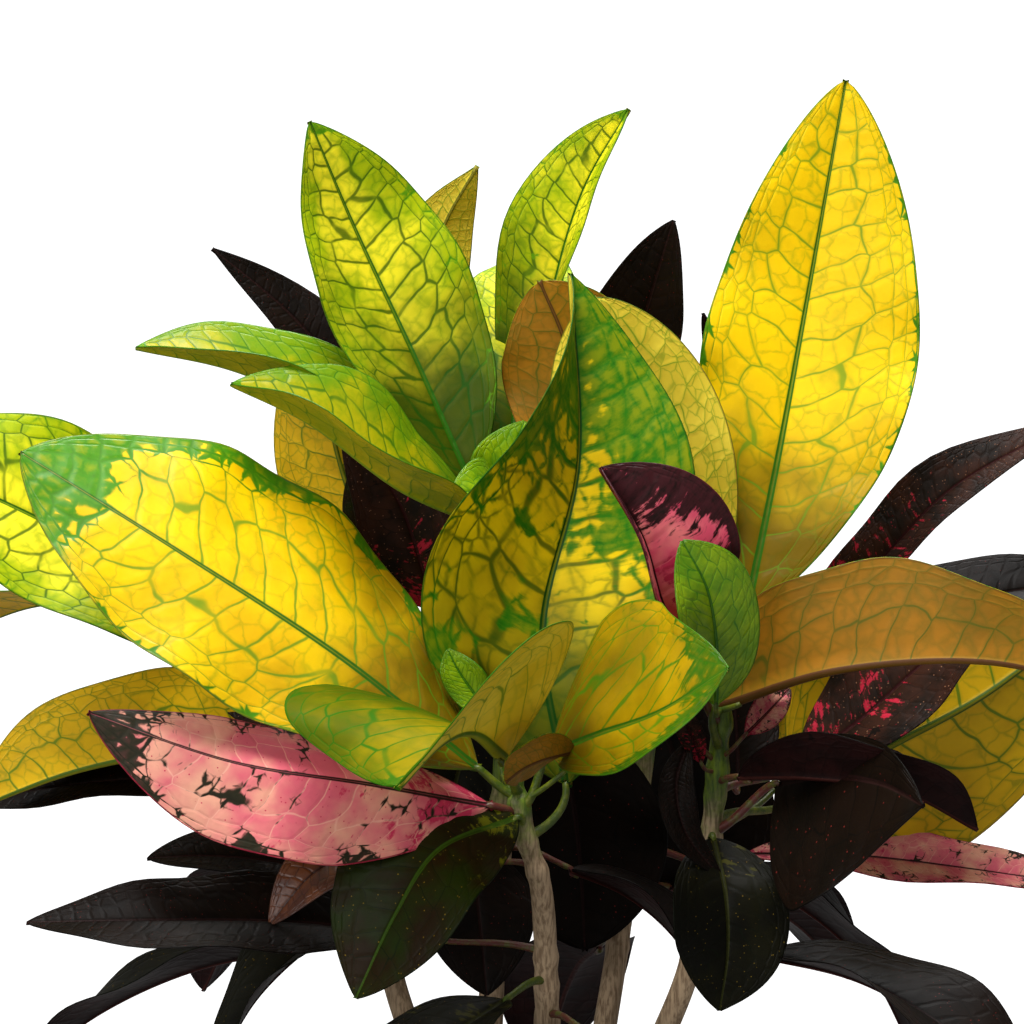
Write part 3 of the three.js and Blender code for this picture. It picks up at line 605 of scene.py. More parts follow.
# Then the leaves that follow the plant's habit. Each springs from its stem in an even arch: name,
# colour kind, stem, height on it, compass direction (degrees from +X towards +Y), rise at the
# base, drop over its length (degrees), blade length and half width.
ARCHED_LEAVES = [
    ["gold_back_right", "gold", "back_right", 384, 52, 46, 62, 160, 30],
    ["lime_back_up", "limegold", "back_right", 376, 116, 54, 74, 175, 28],
    ["orange_back", "gold", "back_right", 352, 82, 36, 74, 190, 40],
    ["pink_back", "pink", "back_right", 322, 118, 22, 60, 175, 33],
    ["dark_back_right", "dark", "back_right", 300, 40, 14, 50, 165, 32],
    ["crimson_back_low", "dark", "back_right", 264, 78, 32, 66, 165, 32],
    ["dark_back_low", "dark", "back_right", 232, 52, -4, 40, 150, 30],
    ["dark_back_right_inner", "dark", "back_right", 248, 8, -12, 60, 130, 32],
    ["dark_back_right_foot", "dark", "back_right", 212, 104, -14, 50, 120, 30],

    ["gold_back_left", "gold", "back_left", 326, 72, 60, 56, 170, 30],
    ["lime_back_left", "lime", "back_left", 318, 116, 36, 60, 190, 37],
    ["gold_left_back", "gold", "back_left", 308, 148, 30, 60, 185, 38],
    ["pink_back_left", "pink", "back_left", 280, 128, 14, 42, 160, 32],
    ["dark_left_back", "dark", "back_left", 246, 118, -8, 46, 155, 30],
    ["olive_left_low", "olive", "back_left", 214, 168, -6, 40, 150, 28],

    ["gold_centre_back", "gold", "centre", 384, 116, 50, 50, 140, 25],
    ["lime_centre_rear", "limegold", "centre", 382, 84, 66, 54, 140, 25],
    ["crimson_centre_back", "crimson", "centre", 330, 94, 30, 60, 170, 32],
    ["dark_centre_back", "dark", "centre", 280, 96, 6, 80, 120, 30],
    ["olive_centre_left", "olive", "centre", 246, 196, -8, 60, 120, 30],
    ["dark_centre_right", "dark", "centre", 258, 352, -14, 50, 72, 22],

    ["dark_right_hanging", "dark", "right", 225, 325, 2, 50, 150, 29],
    ["olive_front_low", "olive", "front", 214, 238, -4, 44, 140, 27],
    ["dark_front_right_low", "dark", "front", 200, 296, 0, 50, 130, 26],
]


def spline(knots, t):
    """Points on the smooth curve through the knots, at shares t of its length."""
    knots = np.array(knots, float)
    path = np.vstack([2 * knots[0] - knots[1], knots, 2 * knots[-1] - knots[-2]])
    place = np.clip(t, 0, 1) * (len(knots) - 1)
    i = np.minimum(place.astype(int), len(knots) - 2)
    w = (place - i)[:, None]
    a, b, c, d = path[i], path[i + 1], path[i + 2], path[i + 3]
    return 0.5 * (2 * b + (c - a) * w + (2 * a - 5 * b + 4 * c - d) * w ** 2
                  + (3 * b - a - 3 * c + d) * w ** 3)


def unit(v):
    """Vectors scaled to length 1."""
    return v / np.linalg.norm(v, axis=-1, keepdims=True)


def tube_points(path, radii, sides):
    """The rings of points of a tube along a path, carried on without a twist."""
    along = unit(np.gradient(path, axis=0))
    side = np.array([1.0, 0, 0]) if abs(along[0][2]) > 0.9 else np.array([0, 0, 1.0])
    points = []
    for spot, way, radius in zip(path, along, radii):
        side = unit(side - way * side.dot(way))
        other = np.cross(way, side)
        points += [spot + radius * (math.cos(a) * side + math.sin(a) * other) for a in circle(sides)]
    return np.array(points)


def stem_point(name, height):
    """Point on a stem's middle line at a height."""
    path = np.array(STEMS[name][0], float)
    i = int(np.clip(np.searchsorted(path[:, 2], height) - 1, 0, len(path) - 2))
    share = (height - path[i][2]) / (path[i + 1][2] - path[i][2])
    return path[i] + (path[i + 1] - path[i]) * share


def stem_skin():
    """Young bark: beige-grey and cracked low down, smooth green with fine streaks above."""
    material, paint, shader = finish("stem_bark")
    where = paint.node("TexCoord", {}, {}, "Object")
    lengthwise = where.node("Mapping", {}, {"Vector": where, "Scale": (1, 1, 0.12)})
    crosswise = where.node("Mapping", {}, {"Vector": where, "Scale": (0.2, 0.2, 1)})
    streaks = cloud(lengthwise, 0.0012, 4, 0.6)
    rings = cloud(crosswise, 0.0016, 3, 0.5)
    patches = cloud(where, 0.008, 4, 0.6)
    green = fade(where.part("Z") + (patches - 0.5) * 0.05, 0.262, 0.292)
    bark = blend(rgb(138, 112, 84), rgb(198, 170, 136), fade(streaks, 0.34, 0.6))
    young = blend(rgb(54, 80, 12), rgb(112, 136, 26), fade(streaks * 0.5 + patches * 0.5, 0.4, 0.62))
    coat(shader, Base_Color=blend(bark, young, green), Roughness=0.75 - 0.3 * green,
         Normal=relief(streaks * 0.5 + rings * 0.5, 0.0005))
    return material


def stem_piece(name, skin):
    """One stem with a swelling under each leaf and a small pointed bud at its tip."""
    knots, foot, tip = STEMS[name]
    share = np.linspace(0, 1, STEM_STEPS)
    path = spline([[knots[0][0], knots[0][1], STEM_FOOT], *knots], share)
    radii = foot + (tip - foot) * np.maximum(0, share - 0.2) / 0.8
    for height in [row[3] for row in READ_LEAVES + ARCHED_LEAVES if row[2] == name]:
        above = path[:, 2] - height
        radii += SWELLING * np.exp(-((above + 2) / SWELLING_LENGTH) ** 2)
        radii -= SCAR * np.exp(-((above - 3.5) / SCAR_LENGTH) ** 2)
    bud = path[-1] + unit(path[-1] - path[-2]) * np.array(BUD_STEPS)
    path = np.vstack([path, bud])
    radii = np.concatenate([radii, tip * np.array(BUD_SHARES)])
    return piece("stem_" + name, tube_points(path, radii, STEM_SIDES) * MM,
                 tube_faces(len(path), STEM_SIDES), [skin])


bark = stem_skin()
for name in STEMS:
    stem = stem_piece(name, bark)
    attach(stem, "root")
    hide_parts("leafy_stem_" + name)

# ---------------------------------------------------------------- leaves
# Leathery, glossy leaves on green stalks, grown in a spiral round each stem: young ones gold and
# lime with green veins, older ones pink, crimson, olive and nearly black. Each is one piece: a
# blade with a crease, waved margins, sunken veins above and a raised midrib below, on its stalk.

# What a leaf does where its row doesn't say otherwise, and what those in an even arch do.
USUAL_HABIT = {"fold": [14, 14], "lean": [0, 0], "sides": [1, 1], "widest": 0.48, "wave": 2}
ARCHED_HABIT = {"fold": [22, 14], "wave": 3}

FULLNESS = 1.7                      # how round the blade's outline is
TIP_HALF = 0.35                     # half width that is left at the very tip
BLADE_MIDDLE = 0.95                 # thickness beside the midrib
BLADE_MARGIN = 0.5
MARGIN_BULGE = 0.22                 # rounds off the margin
GROOVE = 0.5                        # how far the midrib is sunk above
RIB_HALF = 1.5                      # half width of the midrib at the base, in a stout leaf
RIB_TAPER = 1.1                     # how much less that is at the tip
STOUT_HALF = 60                     # half width of the blade that goes with a stout midrib and stalk
WAVE_LENGTH = 62                    # of the margin
SIDE_SHIFT = 0.37                   # of the right margin's waves against the left's
APART = 0.618                       # sets the waves and the pattern of each leaf apart from the last
QUILTING = 0.010                    # swelling between the side veins, for each mm of half width
RIPPLES = 0.010
LARGEST_HALF = 49                   # half width of the leaf whose markings are at true scale
VEIN_STEP = 15.0                    # between side veins, along the midrib, in that leaf
VEIN_SLANT = 0.42                   # how far a side vein runs forward for each mm outward
VEIN_BEND = 0.003
ROWS_PER_MM = 1.5                   # rows of points along the blade, for each mm of half width
ROW_LIMITS = (22, 66)
SPAN_SCALE = 100                    # mm for each unit of the places that are stored for the shader
RIB_SCALE = 10                      # the same for the midrib's half width

STALK_REACH = 30                    # from the stem's middle to the blade of an arched leaf
STALK_RADIUS = 2.0
STALK_SIDES = 10
STALK_STEPS = 16

# The leaf's own baked sheet, in shares of its width and height: the upper face, its margin at the
# left and the right, the under face and the stalk stand side by side.
SHEET_FOOT = 0.02
SHEET_RISE = 0.96
SHEET_FACE = 0.43
SHEET_UPPER = 0.02
SHEET_UNDER = 0.5
SHEET_MARGINS = (0.462, 0.480)
SHEET_MARGIN = 0.004
SHEET_STALK = 0.955
SHEET_STALK_WIDTH = 0.035


def arched_row(row):
    """The row of an arched leaf, with its midrib and face worked out from its habit."""
    name, kind, stem_name, height, compass, rise, drop, length, half = row
    r = math.radians(rise)
    d = math.radians(drop)
    out = np.array([math.cos(math.radians(compass)), math.sin(math.radians(compass)), 0])
    up = np.array([0, 0, 1.0])
    start = stem_point(stem_name, height) + STALK_REACH * (out * math.cos(r) + up * math.sin(r))
    rib = [start + out * length * (math.sin(r) - math.sin(r - d * s)) / d
           + up * length * (math.cos(r - d * s) - math.cos(r)) / d for s in (0, 1 / 3, 2 / 3, 1)]
    face = up * math.cos(r) - out * math.sin(r)
    turn = up * math.cos(r - d) - out * math.sin(r - d)
    return [name, kind, stem_name, height, rib, half, face, {**ARCHED_HABIT, "turn": turn}]


def outline(s, widest):
    """Half width along the blade, from 0 at the base to 1 at its widest and 0 at the tip."""
    return (s / widest) ** (FULLNESS * widest) * ((1 - s) / (1 - widest)) ** (FULLNESS * (1 - widest))


def soft_step(value, start, end):
    """0 where the value is at start, 1 where it is at end, with soft shoulders."""
    share = np.clip((value - start) / (end - start), 0, 1)
    return share * share * (3 - 2 * share)


def between(ends, s):
    """A value that runs evenly from the blade's base to its tip."""
    return ends[0] + (ends[1] - ends[0]) * s


def columns(half, rib):
    """Where the points of each row lie across the blade: close at the midrib and the margin, or
    spread evenly where the blade is hardly wider than its midrib."""
    wide = half[:, None]
    crest = 1.9 * rib
    onward = crest + (wide - 0.6 - crest) * np.arange(1, 8) / 7
    close = np.hstack([np.array([0, 0.5 * rib, rib, crest]) + 0 * wide, onward, wide])
    spread = np.array([0, 0.06, 0.12, 0.22, 0.33, 0.44, 0.55, 0.66, 0.77, 0.88, 0.97, 1])
    share = np.clip((wide - 4 * rib) / (4 * rib), 0, 1)
    across = share * close / wide + (1 - share) * spread
    return np.hstack([-across[:, :0:-1], across])


def along_rib(rib_knots, s):
    """How far each row lies from the blade's base, along the midrib."""
    shares = np.linspace(0, 1, 401)
    steps = np.linalg.norm(np.diff(spline(rib_knots, shares), axis=0), axis=1)
    return np.interp(s, shares, np.concatenate([[0], np.cumsum(steps)]))


def rib_frame(rib_knots, face, turn, s):
    """The midrib's point and the blade's side and upward directions, in each row."""
    along = unit(spline(rib_knots, s + 0.002) - spline(rib_knots, s - 0.002))
    up = between((unit(np.array(face, float)), unit(np.array(turn, float))), s[:, None])
    up = unit(up - along * np.sum(up * along, axis=1, keepdims=True))
    return spline(rib_knots, s), np.cross(along, up), up


def quilt_and_ripples(x, y, a, right, grain, number):
    """Relief of the whole blade: swellings between the side veins, and slow ripples outward."""
    run_on = x / grain
    out = np.abs(y) / grain
    vein = (run_on - VEIN_SLANT * out - VEIN_BEND * out * out) / VEIN_STEP + 0.5 * right
    quilt = np.abs(np.sin(math.pi * vein)) ** 0.8 * soft_step(a, 0.04, 0.25) * soft_step(a, 1, 0.7)
    ripple = (np.sin(x * 0.075 + number * 2.1 + y * 0.05)
              + np.sin(x * 0.04 - y * 0.11 + number * 1.3)) * a * soft_step(a, 1.2, 0.4)
    return QUILTING * quilt + RIPPLES * ripple


def blade_grid(row, number):
    """A blade's upper and under points, in rows along it, with their shader coordinates."""
    rib_knots, half_width, face, particular = row[4:]
    habit = {**USUAL_HABIT, "turn": face, **particular}

    # Rows lie closer together towards the base and the tip.
    even = np.linspace(0, 1, int(np.clip(half_width * ROWS_PER_MM, *ROW_LIMITS)))
    s = 0.5 * even + 0.25 * (1 - np.cos(math.pi * even))
    centre, side, up = rib_frame(rib_knots, face, habit["turn"], s)

    # Across the blade, u runs from -1 at the left margin to 1 at the right one, and a is its size.
    half = half_width * outline(s, habit["widest"]) + TIP_HALF
    midrib = ((RIB_HALF - RIB_TAPER * s) * (0.35 + half_width / STOUT_HALF))[:, None]
    u = columns(half, midrib.mean())
    a = np.abs(u)
    right = u > 0
    reach = half[:, None] * np.where(right, habit["sides"][1], habit["sides"][0])
    x = along_rib(rib_knots, s)[:, None]
    y = u * reach
    s = s[:, None]

    fold = np.radians(between(habit["fold"], s) + right * between(habit["lean"], s))
    phase = 2 * math.pi * (round(x[-1, 0] / WAVE_LENGTH) * s + number * APART + SIDE_SHIFT * right)
    wave = habit["wave"] * a * a * np.sin(phase) * np.sin(math.pi * s)
    grain = half_width / LARGEST_HALF
    swell = half_width * quilt_and_ripples(x, y, a, right, grain, number)
    middle = (centre[:, None] + side[:, None] * (y * np.cos(fold))[..., None]
              + up[:, None] * (a * reach * np.sin(fold) + wave + swell)[..., None])

    normal = unit(np.cross(np.gradient(middle, axis=1), np.gradient(middle, axis=0)))
    lateral = np.abs(y) / midrib
    groove = GROOVE * np.exp(-lateral ** 2) * soft_step(s, 1.02, 0.7)
    ridge = midrib * np.exp(-lateral ** 4)
    thick = BLADE_MIDDLE + (BLADE_MARGIN - BLADE_MIDDLE) * a
    upper = middle - normal * groove[..., None]
    under = middle - normal * (thick + ridge)[..., None]
    edge = (middle - normal * (thick / 2)[..., None])[:, [0, -1]]
    edge += side[:, None] * np.array([-MARGIN_BULGE, MARGIN_BULGE])[None, :, None]
    maps = {
        "Blade": np.stack([s + 0 * u, 0.5 + 0.5 * u], axis=-1),
        "Span": np.stack([x / grain + 0 * u, y / grain], axis=-1) / SPAN_SCALE,
        "Draw": np.stack([number * APART % 1 + 0 * u, midrib / grain / RIB_SCALE + 0 * u], axis=-1),
    }
    return upper, under, edge, maps


def strip(first, second):
    """The quads between two lines of points that are given by their numbers."""
    return np.stack([first[1:], second[1:], second[:-1], first[:-1]], axis=1)


def stalk_line(row, under):
    """The stalk's middle line and radii: out of the stem, up into the blade, on under its midrib."""
    _, _, stem_name, height, rib_knots, half_width = row[:6]
    foot = stem_point(stem_name, height)
    base, further = spline(rib_knots, np.array([0, 0.01]))
    along = unit(further - base)
    reach = np.linalg.norm(base - foot)
    out = unit((base - foot) * [1, 1, 0])
    rising = foot + out * reach * 0.35 + [0, 0, reach * 0.12]
    arriving = base - along * reach * 0.35
    t = np.linspace(0, 1, STALK_STEPS)[:, None]
    path = ((1 - t) ** 3 * foot + 3 * (1 - t) ** 2 * t * rising + 3 * (1 - t) * t ** 2 * arriving
            + t ** 3 * base)
    middle = under.shape[1] // 2
    path = np.vstack([path, under[1:max(3, len(under) // 8), middle]])
    share = np.linspace(0, 1, len(path))
    swollen_foot = 0.35 * np.exp(-(share / 0.08) ** 2)
    swollen_neck = 0.12 * np.exp(-((share - 0.8) / 0.1) ** 2)
    size = min(1, 0.45 + half_width / STOUT_HALF)
    return path, STALK_RADIUS * size * (1 - 0.45 * share + swollen_foot + swollen_neck)


def sheet_places(s, u, stalk_rings):
    """Where each point lies in the baked sheet: as part of either face, and as part of the margin."""
    rise = SHEET_FOOT + SHEET_RISE * s
    margin = np.where(u < 0.5, *SHEET_MARGINS)

    def place(across):
        return np.stack([across, rise], axis=-1)

    turn = np.tile(np.arange(STALK_SIDES) / STALK_SIDES, stalk_rings)
    climb = np.repeat(np.linspace(SHEET_FOOT, SHEET_FOOT + SHEET_RISE, stalk_rings), STALK_SIDES)
    stalk = np.stack([SHEET_STALK + SHEET_STALK_WIDTH * turn, climb], axis=-1)
    edge = place(margin)[:, [0, -1]]
    on_faces = [place(SHEET_UPPER + SHEET_FACE * u), place(SHEET_UNDER + SHEET_FACE * u), edge]
    on_margin = [place(margin - SHEET_MARGIN), place(margin + SHEET_MARGIN), edge]
    return [np.vstack([part.reshape(-1, 2) for part in parts] + [stalk]) for parts in (on_faces, on_margin)]


def leaf_mesh(row, number):
    """Points, faces, material slots and the corner maps of one leaf with its stalk."""
    upper, under, edge, maps = blade_grid(row, number)
    count, width = upper.shape[:2]
    size = count * width
    top = np.arange(size).reshape(count, width)
    base = top + size
    rim = 2 * size + np.arange(2 * count).reshape(count, 2)
    face = np.stack([top[:-1, :-1], top[:-1, 1:], top[1:, 1:], top[1:, :-1]], axis=-1).reshape(-1, 4)
    sheets = np.vstack([face, face[:, ::-1] + size])
    rims = np.vstack([
        strip(top[:, 0], rim[:, 0]), strip(rim[:, 0], base[:, 0]),
        strip(top[:, -1], rim[:, 1])[:, ::-1], strip(rim[:, 1], base[:, -1])[:, ::-1],
        strip(top[0], base[0])[:, ::-1], strip(top[-1], base[-1])])
    corners = [(top[0, 0], rim[0, 0], base[0, 0]), (top[0, -1], base[0, -1], rim[0, 1]),
               (top[-1, 0], base[-1, 0], rim[-1, 0]), (top[-1, -1], rim[-1, 1], base[-1, -1])]

    path, radii = stalk_line(row, under)
    stalk = tube_points(path, radii, STALK_SIDES)
    stalk_faces = tube_faces(len(path), STALK_SIDES)
    first = 2 * size + 2 * count
    points = np.vstack([upper.reshape(-1, 3), under.reshape(-1, 3), edge.reshape(-1, 3), stalk])
    faces = ([tuple(quad) for quad in np.vstack([sheets, rims]).tolist()]
             + [tuple(int(v) for v in corner) for corner in corners]
             + [tuple(v + first for v in ring) for ring in stalk_faces])
    slots = [0] * len(face) + [1] * len(face) + [0] * (len(rims) + len(corners)) + [2] * len(stalk_faces)

    loops = np.concatenate([np.array(corner) for corner in faces])
    blank = np.zeros((len(stalk), 2))
    corner_maps = {}
    for key, value in maps.items():
        flat = value.reshape(-1, 2)
        corner_maps[key] = np.vstack([flat, flat, value[:, [0, -1]].reshape(-1, 2), blank])[loops]
    face_place, rim_place = sheet_places(*np.moveaxis(maps["Blade"], -1, 0), len(path))
    on_rim = np.zeros(len(loops), bool)
    on_rim[sheets.size:sheets.size + rims.size + 3 * len(corners)] = True
    corner_maps["OFBake"] = np.where(on_rim[:, None], rim_place[loops], face_place[loops])
    return points, faces, slots, corner_maps


# How one side of a leaf is painted, unless its look says otherwise. Every look has the colours
# ground and second (the two tones of the blade), ink (veins, flood and edge) and rib (midrib).
# Lengths are in mm on the largest leaf, and shares run from 0 to 1.
PLAIN_LOOK = dict(
    slant=VEIN_SLANT,               # of the side veins
    width=0.36,                     # of the side veins
    soft=0.25,                      # softness of all lines
    firm=0.9,                       # how strongly the lines show
    net=0.35,                       # how strongly the finer net shows
    halo=0.2,                       # flood colour beside the veins
    bleed=1.6,                      # how far that reaches
    tip=0.0,                        # shares of the blade that the flood covers: from the tip,
    margin=0.0,                     # from the margin,
    right=0.0,                      # over the right half
    patches=0.0,                    # and in patches
    reach=1.0,                      # how fully it covers them
    streaky=0.0,                    # how far it is drawn out in streaks
    through=0.2,                    # ground that shows through it
    rimward=0.0,                    # more of the second tone towards the margin
    # shade, shade_from and shade_to paint shade in the deep tone over the lower blade, where neighbouring
    # leaves shade it; partly it is the leaf's own darker, greener base.
    shade=0.0,                      # deep tone at the base
    shade_from=0.5,                 # where that starts along the blade
    shade_to=0.05,                  # and where it is full
    flush=None,                     # colour of a flush in the ground, if there is one
    flush_share=0.0,
    flush_reach=1.0,
    speck=None,                     # colour of fine specks, if there are any
    specks=0.0,
    raised=False,                   # veins stand out, as they do below
    depth=0.0002,                   # of the relief, in metres
    rough=0.36,
    shine=0.35)
# Colours that are the ink's where a look doesn't give them: side veins, flood, the deep tone of the painted
# shade at the base, and edge.
INKED = ("line", "flood", "deep", "edge")

NET_SIZE = 9.5                      # of the finer net's cells
SPECK_SIZE = 3.2
PAINTED_RIB = 0.9                   # share of the midrib's half width that has its colour
SEED_SPREAD = 800                   # how far apart the patterns of the leaves are taken from


def blade_places(paint):
    """Places on a blade, read from its maps: shares along and across it, and mm at true scale."""
    at = SimpleNamespace()
    blade = paint.node("UVMap", {"uv_map": "Blade"})
    span = paint.node("UVMap", {"uv_map": "Span"})
    draw = paint.node("UVMap", {"uv_map": "Draw"})
    at.s = blade.part("X")
    at.across = blade.part("Y") - 0.5
    at.a = abs(at.across) * 2
    at.right = paint.math("GREATER_THAN", at.across, 0.0)
    at.x = span.part("X") * SPAN_SCALE
    signed = span.part("Y") * SPAN_SCALE
    at.y = abs(signed)
    at.seed = draw.part("X")
    at.half_rib = draw.part("Y") * (PAINTED_RIB * RIB_SCALE)
    at.where = paint.node("CombineXYZ", {}, {"X": at.x, "Y": signed, "Z": at.seed * SEED_SPREAD})
    return at


def find_veins(paint, at, look):
    """Distances to the side veins and the loops that join them, to the finer net and the midrib.
    The side veins are cells that are long by the midrib and short outside."""
    at.sway = cloud(at.where, 24) - 0.5
    at.forward = (at.x - at.y * look.slant - at.y * at.y * VEIN_BEND + at.sway * 10) / VEIN_STEP
    forward = at.forward + at.right * 0.5 + at.seed * 90
    outward = at.a * 0.41 + at.a * at.a * at.a * at.a * 3.1 + 0.36 + at.sway * 0.5 + at.right * 30
    cells = paint.node("TexVoronoi", {"voronoi_dimensions": "2D", "feature": "DISTANCE_TO_EDGE"},
                       {"Vector": paint.node("CombineXYZ", {}, {"X": forward, "Y": outward}),
                        "Scale": 1.0, "Randomness": 0.5})
    fray = cloud(at.where, 4.5) - 0.5
    shift = paint.node("CombineXYZ", {}, {"X": fray * 4, "Y": fray * -3 + at.sway * 6})
    frayed = paint.node("VectorMath", {"operation": "ADD"}, {0: at.where, 1: shift})
    mesh = paint.node("TexVoronoi", {"voronoi_dimensions": "3D", "feature": "DISTANCE_TO_EDGE"},
                      {"Vector": frayed, "Scale": 1 / NET_SIZE, "Randomness": 0.95})
    at.to_vein = cells * VEIN_STEP
    at.to_net = mesh * NET_SIZE
    at.to_rib = at.y - at.half_rib
    near = paint.math("MINIMUM", at.to_vein, at.to_net + 0.5)
    near = paint.math("MINIMUM", near, at.to_rib + 0.2) + (cloud(at.where, 3.5) - 0.5) * 1.4
    if look.streaky:
        drawn = paint.node("CombineXYZ", {}, {"X": at.forward * 5, "Y": at.a * 2.2,
                                              "Z": at.seed * 50 + at.right * 9})
        near = near * (1 - look.streaky) + (cloud(drawn, 1, 4, 0.65) * 9 - 2) * look.streaky
    at.near = near


def vein_lines(paint, at, look):
    """Where a side vein or the net shows as a line. Both fade and thicken from place to place."""
    strength = cloud(at.where, 16)
    wide = look.width * (0.65 + 0.7 * strength) * (1.2 - 0.95 * at.a)
    main = fade(at.to_vein, wide + look.soft, wide - 0.12) * (0.5 + 0.5 * fade(strength, 0.3, 0.5))
    outward = fade(at.a + strength * 0.5, 0.5, 1.15)
    gaps = fade(cloud(at.where, 11), 0.3, 0.55)
    net = fade(at.to_net, 0.2 + look.soft, 0.06) * (0.25 + 0.75 * outward) * look.net * gaps
    return paint.math("MAXIMUM", main, net) * look.firm


def flood_cover(at, look):
    """Where the ink floods whole cells, out from the veins: tip, margin, right half or patches."""
    grow = []
    if look.tip:
        grow.append(fade(at.s + at.sway * 0.12, 1 - look.tip, 1.0 - look.tip * 0.2) * 4.4)
    if look.margin:
        grow.append(fade(at.a + at.sway * 0.4, 1 - look.margin, 1.03) * 2.2)
    if look.right:
        place = at.across + at.sway * 0.3 + (at.s - 0.6) * 0.3
        grow.append(fade(place, 0.5 - look.right, 0.55 - look.right * 0.3) * 3)
    if look.patches:
        start = 0.3 * look.patches
        grow.append(fade(cloud(at.where, 26, 3, 0.6), 0.66 - start, 0.9 - start) * 3.4)
    ragged = 0.35 + 1.3 * cloud(at.where, 7, 3, 0.6)
    level = sum(grow) * ragged * look.reach
    return fade(at.near, level - 0.1, level - 0.65 - look.soft)


def ground_tone(paint, at, look):
    """The blade's colour between its veins: two tones, a halo, painted shade at the base (partly the leaf's
    own greener base), flush and specks.
    """
    tone = blend(look.ground, look.second,
                 fade(cloud(at.where, 34, 3, 0.55) + (at.a - 0.5) * look.rimward, 0.36, 0.66))
    tone = blend(tone, look.flood, fade(at.near, look.bleed, 0.0) * look.halo)
    # Painted shade: the blade darkens to the deep tone towards its base, as it looks where neighbouring
    # leaves shade it; partly the leaf's own greener base.
    tone = blend(tone, look.deep, fade(at.s + at.sway * 0.3, look.shade_from, look.shade_to) * look.shade)
    if look.flush:
        drawn = paint.node("CombineXYZ", {}, {"X": at.forward * 2.6, "Y": at.a * 1.3, "Z": at.seed * 70})
        streaks = cloud(at.where, 15, 4, 0.65) * 0.7 + cloud(drawn, 1, 4, 0.6) * 0.6 - 0.15
        redness = streaks + (look.flush_reach - at.s) * 0.35
        tone = blend(tone, look.flush, fade(redness, 0.62 - look.flush_share, 0.70 - look.flush_share))
    if look.speck:
        dots = paint.node("TexVoronoi", {"voronoi_dimensions": "3D", "feature": "F1"},
                          {"Vector": at.where, "Scale": 1 / SPECK_SIZE, "Randomness": 1.0})
        size = dots.other("Color").part("X")
        spots = fade(dots * SPECK_SIZE, size * look.specks + 0.3, size * look.specks)
        tone = blend(tone, look.speck, spots * fade(size, 0.5, 0.65))
    return tone


def leaf_face(name, **changes):
    """The material of one side of a leaf: ground, lines, flood, midrib and edge over each other."""
    look = SimpleNamespace(**{**PLAIN_LOOK, **dict.fromkeys(INKED, changes["ink"]), **changes})
    material, paint, shader = finish(name)
    at = blade_places(paint)
    find_veins(paint, at, look)
    tone = ground_tone(paint, at, look)
    flood = blend(look.flood, look.ink, fade(at.near + cloud(at.where, 5, 4, 0.65) * 3, 2.6, 0.8))
    flood = blend(flood, look.ground,
                  fade(at.near + cloud(at.where, 3, 3, 0.6) * 2, 1.6, 4.0) * look.through)
    colour = blend(blend(tone, look.line, vein_lines(paint, at, look)), flood, flood_cover(at, look))
    spine = fade(at.y, at.half_rib * 0.5, at.half_rib * 0.1) * 0.35
    colour = blend(colour, blend(look.rib, tone, spine), fade(at.to_rib, 0.3, -0.1))
    to_edge = at.y / (at.a + 0.02) * (1 - at.a)
    colour = blend(colour, look.edge, fade(to_edge, 0.8, 0.2) * 0.7)
    fleck = 0.94 + 0.12 * cloud(at.where, 2.2, 3, 0.6)
    colour = paint.node("Mix", {"data_type": "RGBA", "blend_type": "MULTIPLY"},
                        {0: 1.0, 6: colour, 7: fleck}, 2)
    swell = (fade(at.to_vein, 0.0, 3.4) * 0.7 + fade(at.to_net, 0.0, 1.8) * 0.12 * look.net
             + cloud(at.where, 5) * 0.2)
    coat(shader, Base_Color=colour, Normal=relief(1 - swell if look.raised else swell, look.depth),
         Roughness=look.rough + 0.14 * (cloud(at.where, 9, 3) - 0.5), Specular_IOR_Level=look.shine)
    return material


def stalk_skin(name, green, warm):
    """A stalk: smooth and green, warmer in streaks."""
    material, paint, shader = finish(name)
    where = paint.node("TexCoord", {}, {}, "Object")
    streaks = cloud(where, 0.004, 3, 0.6)
    coat(shader, Base_Color=blend(green, warm, fade(streaks, 0.4, 0.7)), Roughness=0.42,
         Normal=relief(cloud(where, 0.0008, 2), 0.0002))
    return material


def like(look, **changes):
    """A look that differs from another only in what is named."""
    return {**look, **changes}


# In each look, deep and shade set the painted shade over the lower blade: darker gold in the gold looks,
# and partly the leaf's own greener base in the green ones.
GOLD = dict(ground=rgb(248, 203, 4), second=rgb(236, 184, 4), ink=rgb(66, 116, 10), rib=rgb(40, 96, 14),
            flood=rgb(70, 134, 12), deep=rgb(90, 72, 2), width=0.34, net=0.35, margin=0.06, halo=0.3,
            shade=0.92, shade_to=0.12, shine=0.2)
LIME = dict(ground=rgb(176, 168, 4), second=rgb(112, 144, 4), ink=rgb(36, 98, 10), rib=rgb(40, 98, 12),
            flood=rgb(84, 144, 8), deep=rgb(62, 84, 3), width=0.5, net=0.36, soft=0.7, firm=0.75,
            tip=0.06, margin=0.3, patches=0.15, reach=0.8, streaky=0.3, halo=0.35, bleed=2.6,
            rimward=0.45, shade=0.6, shine=0.22)
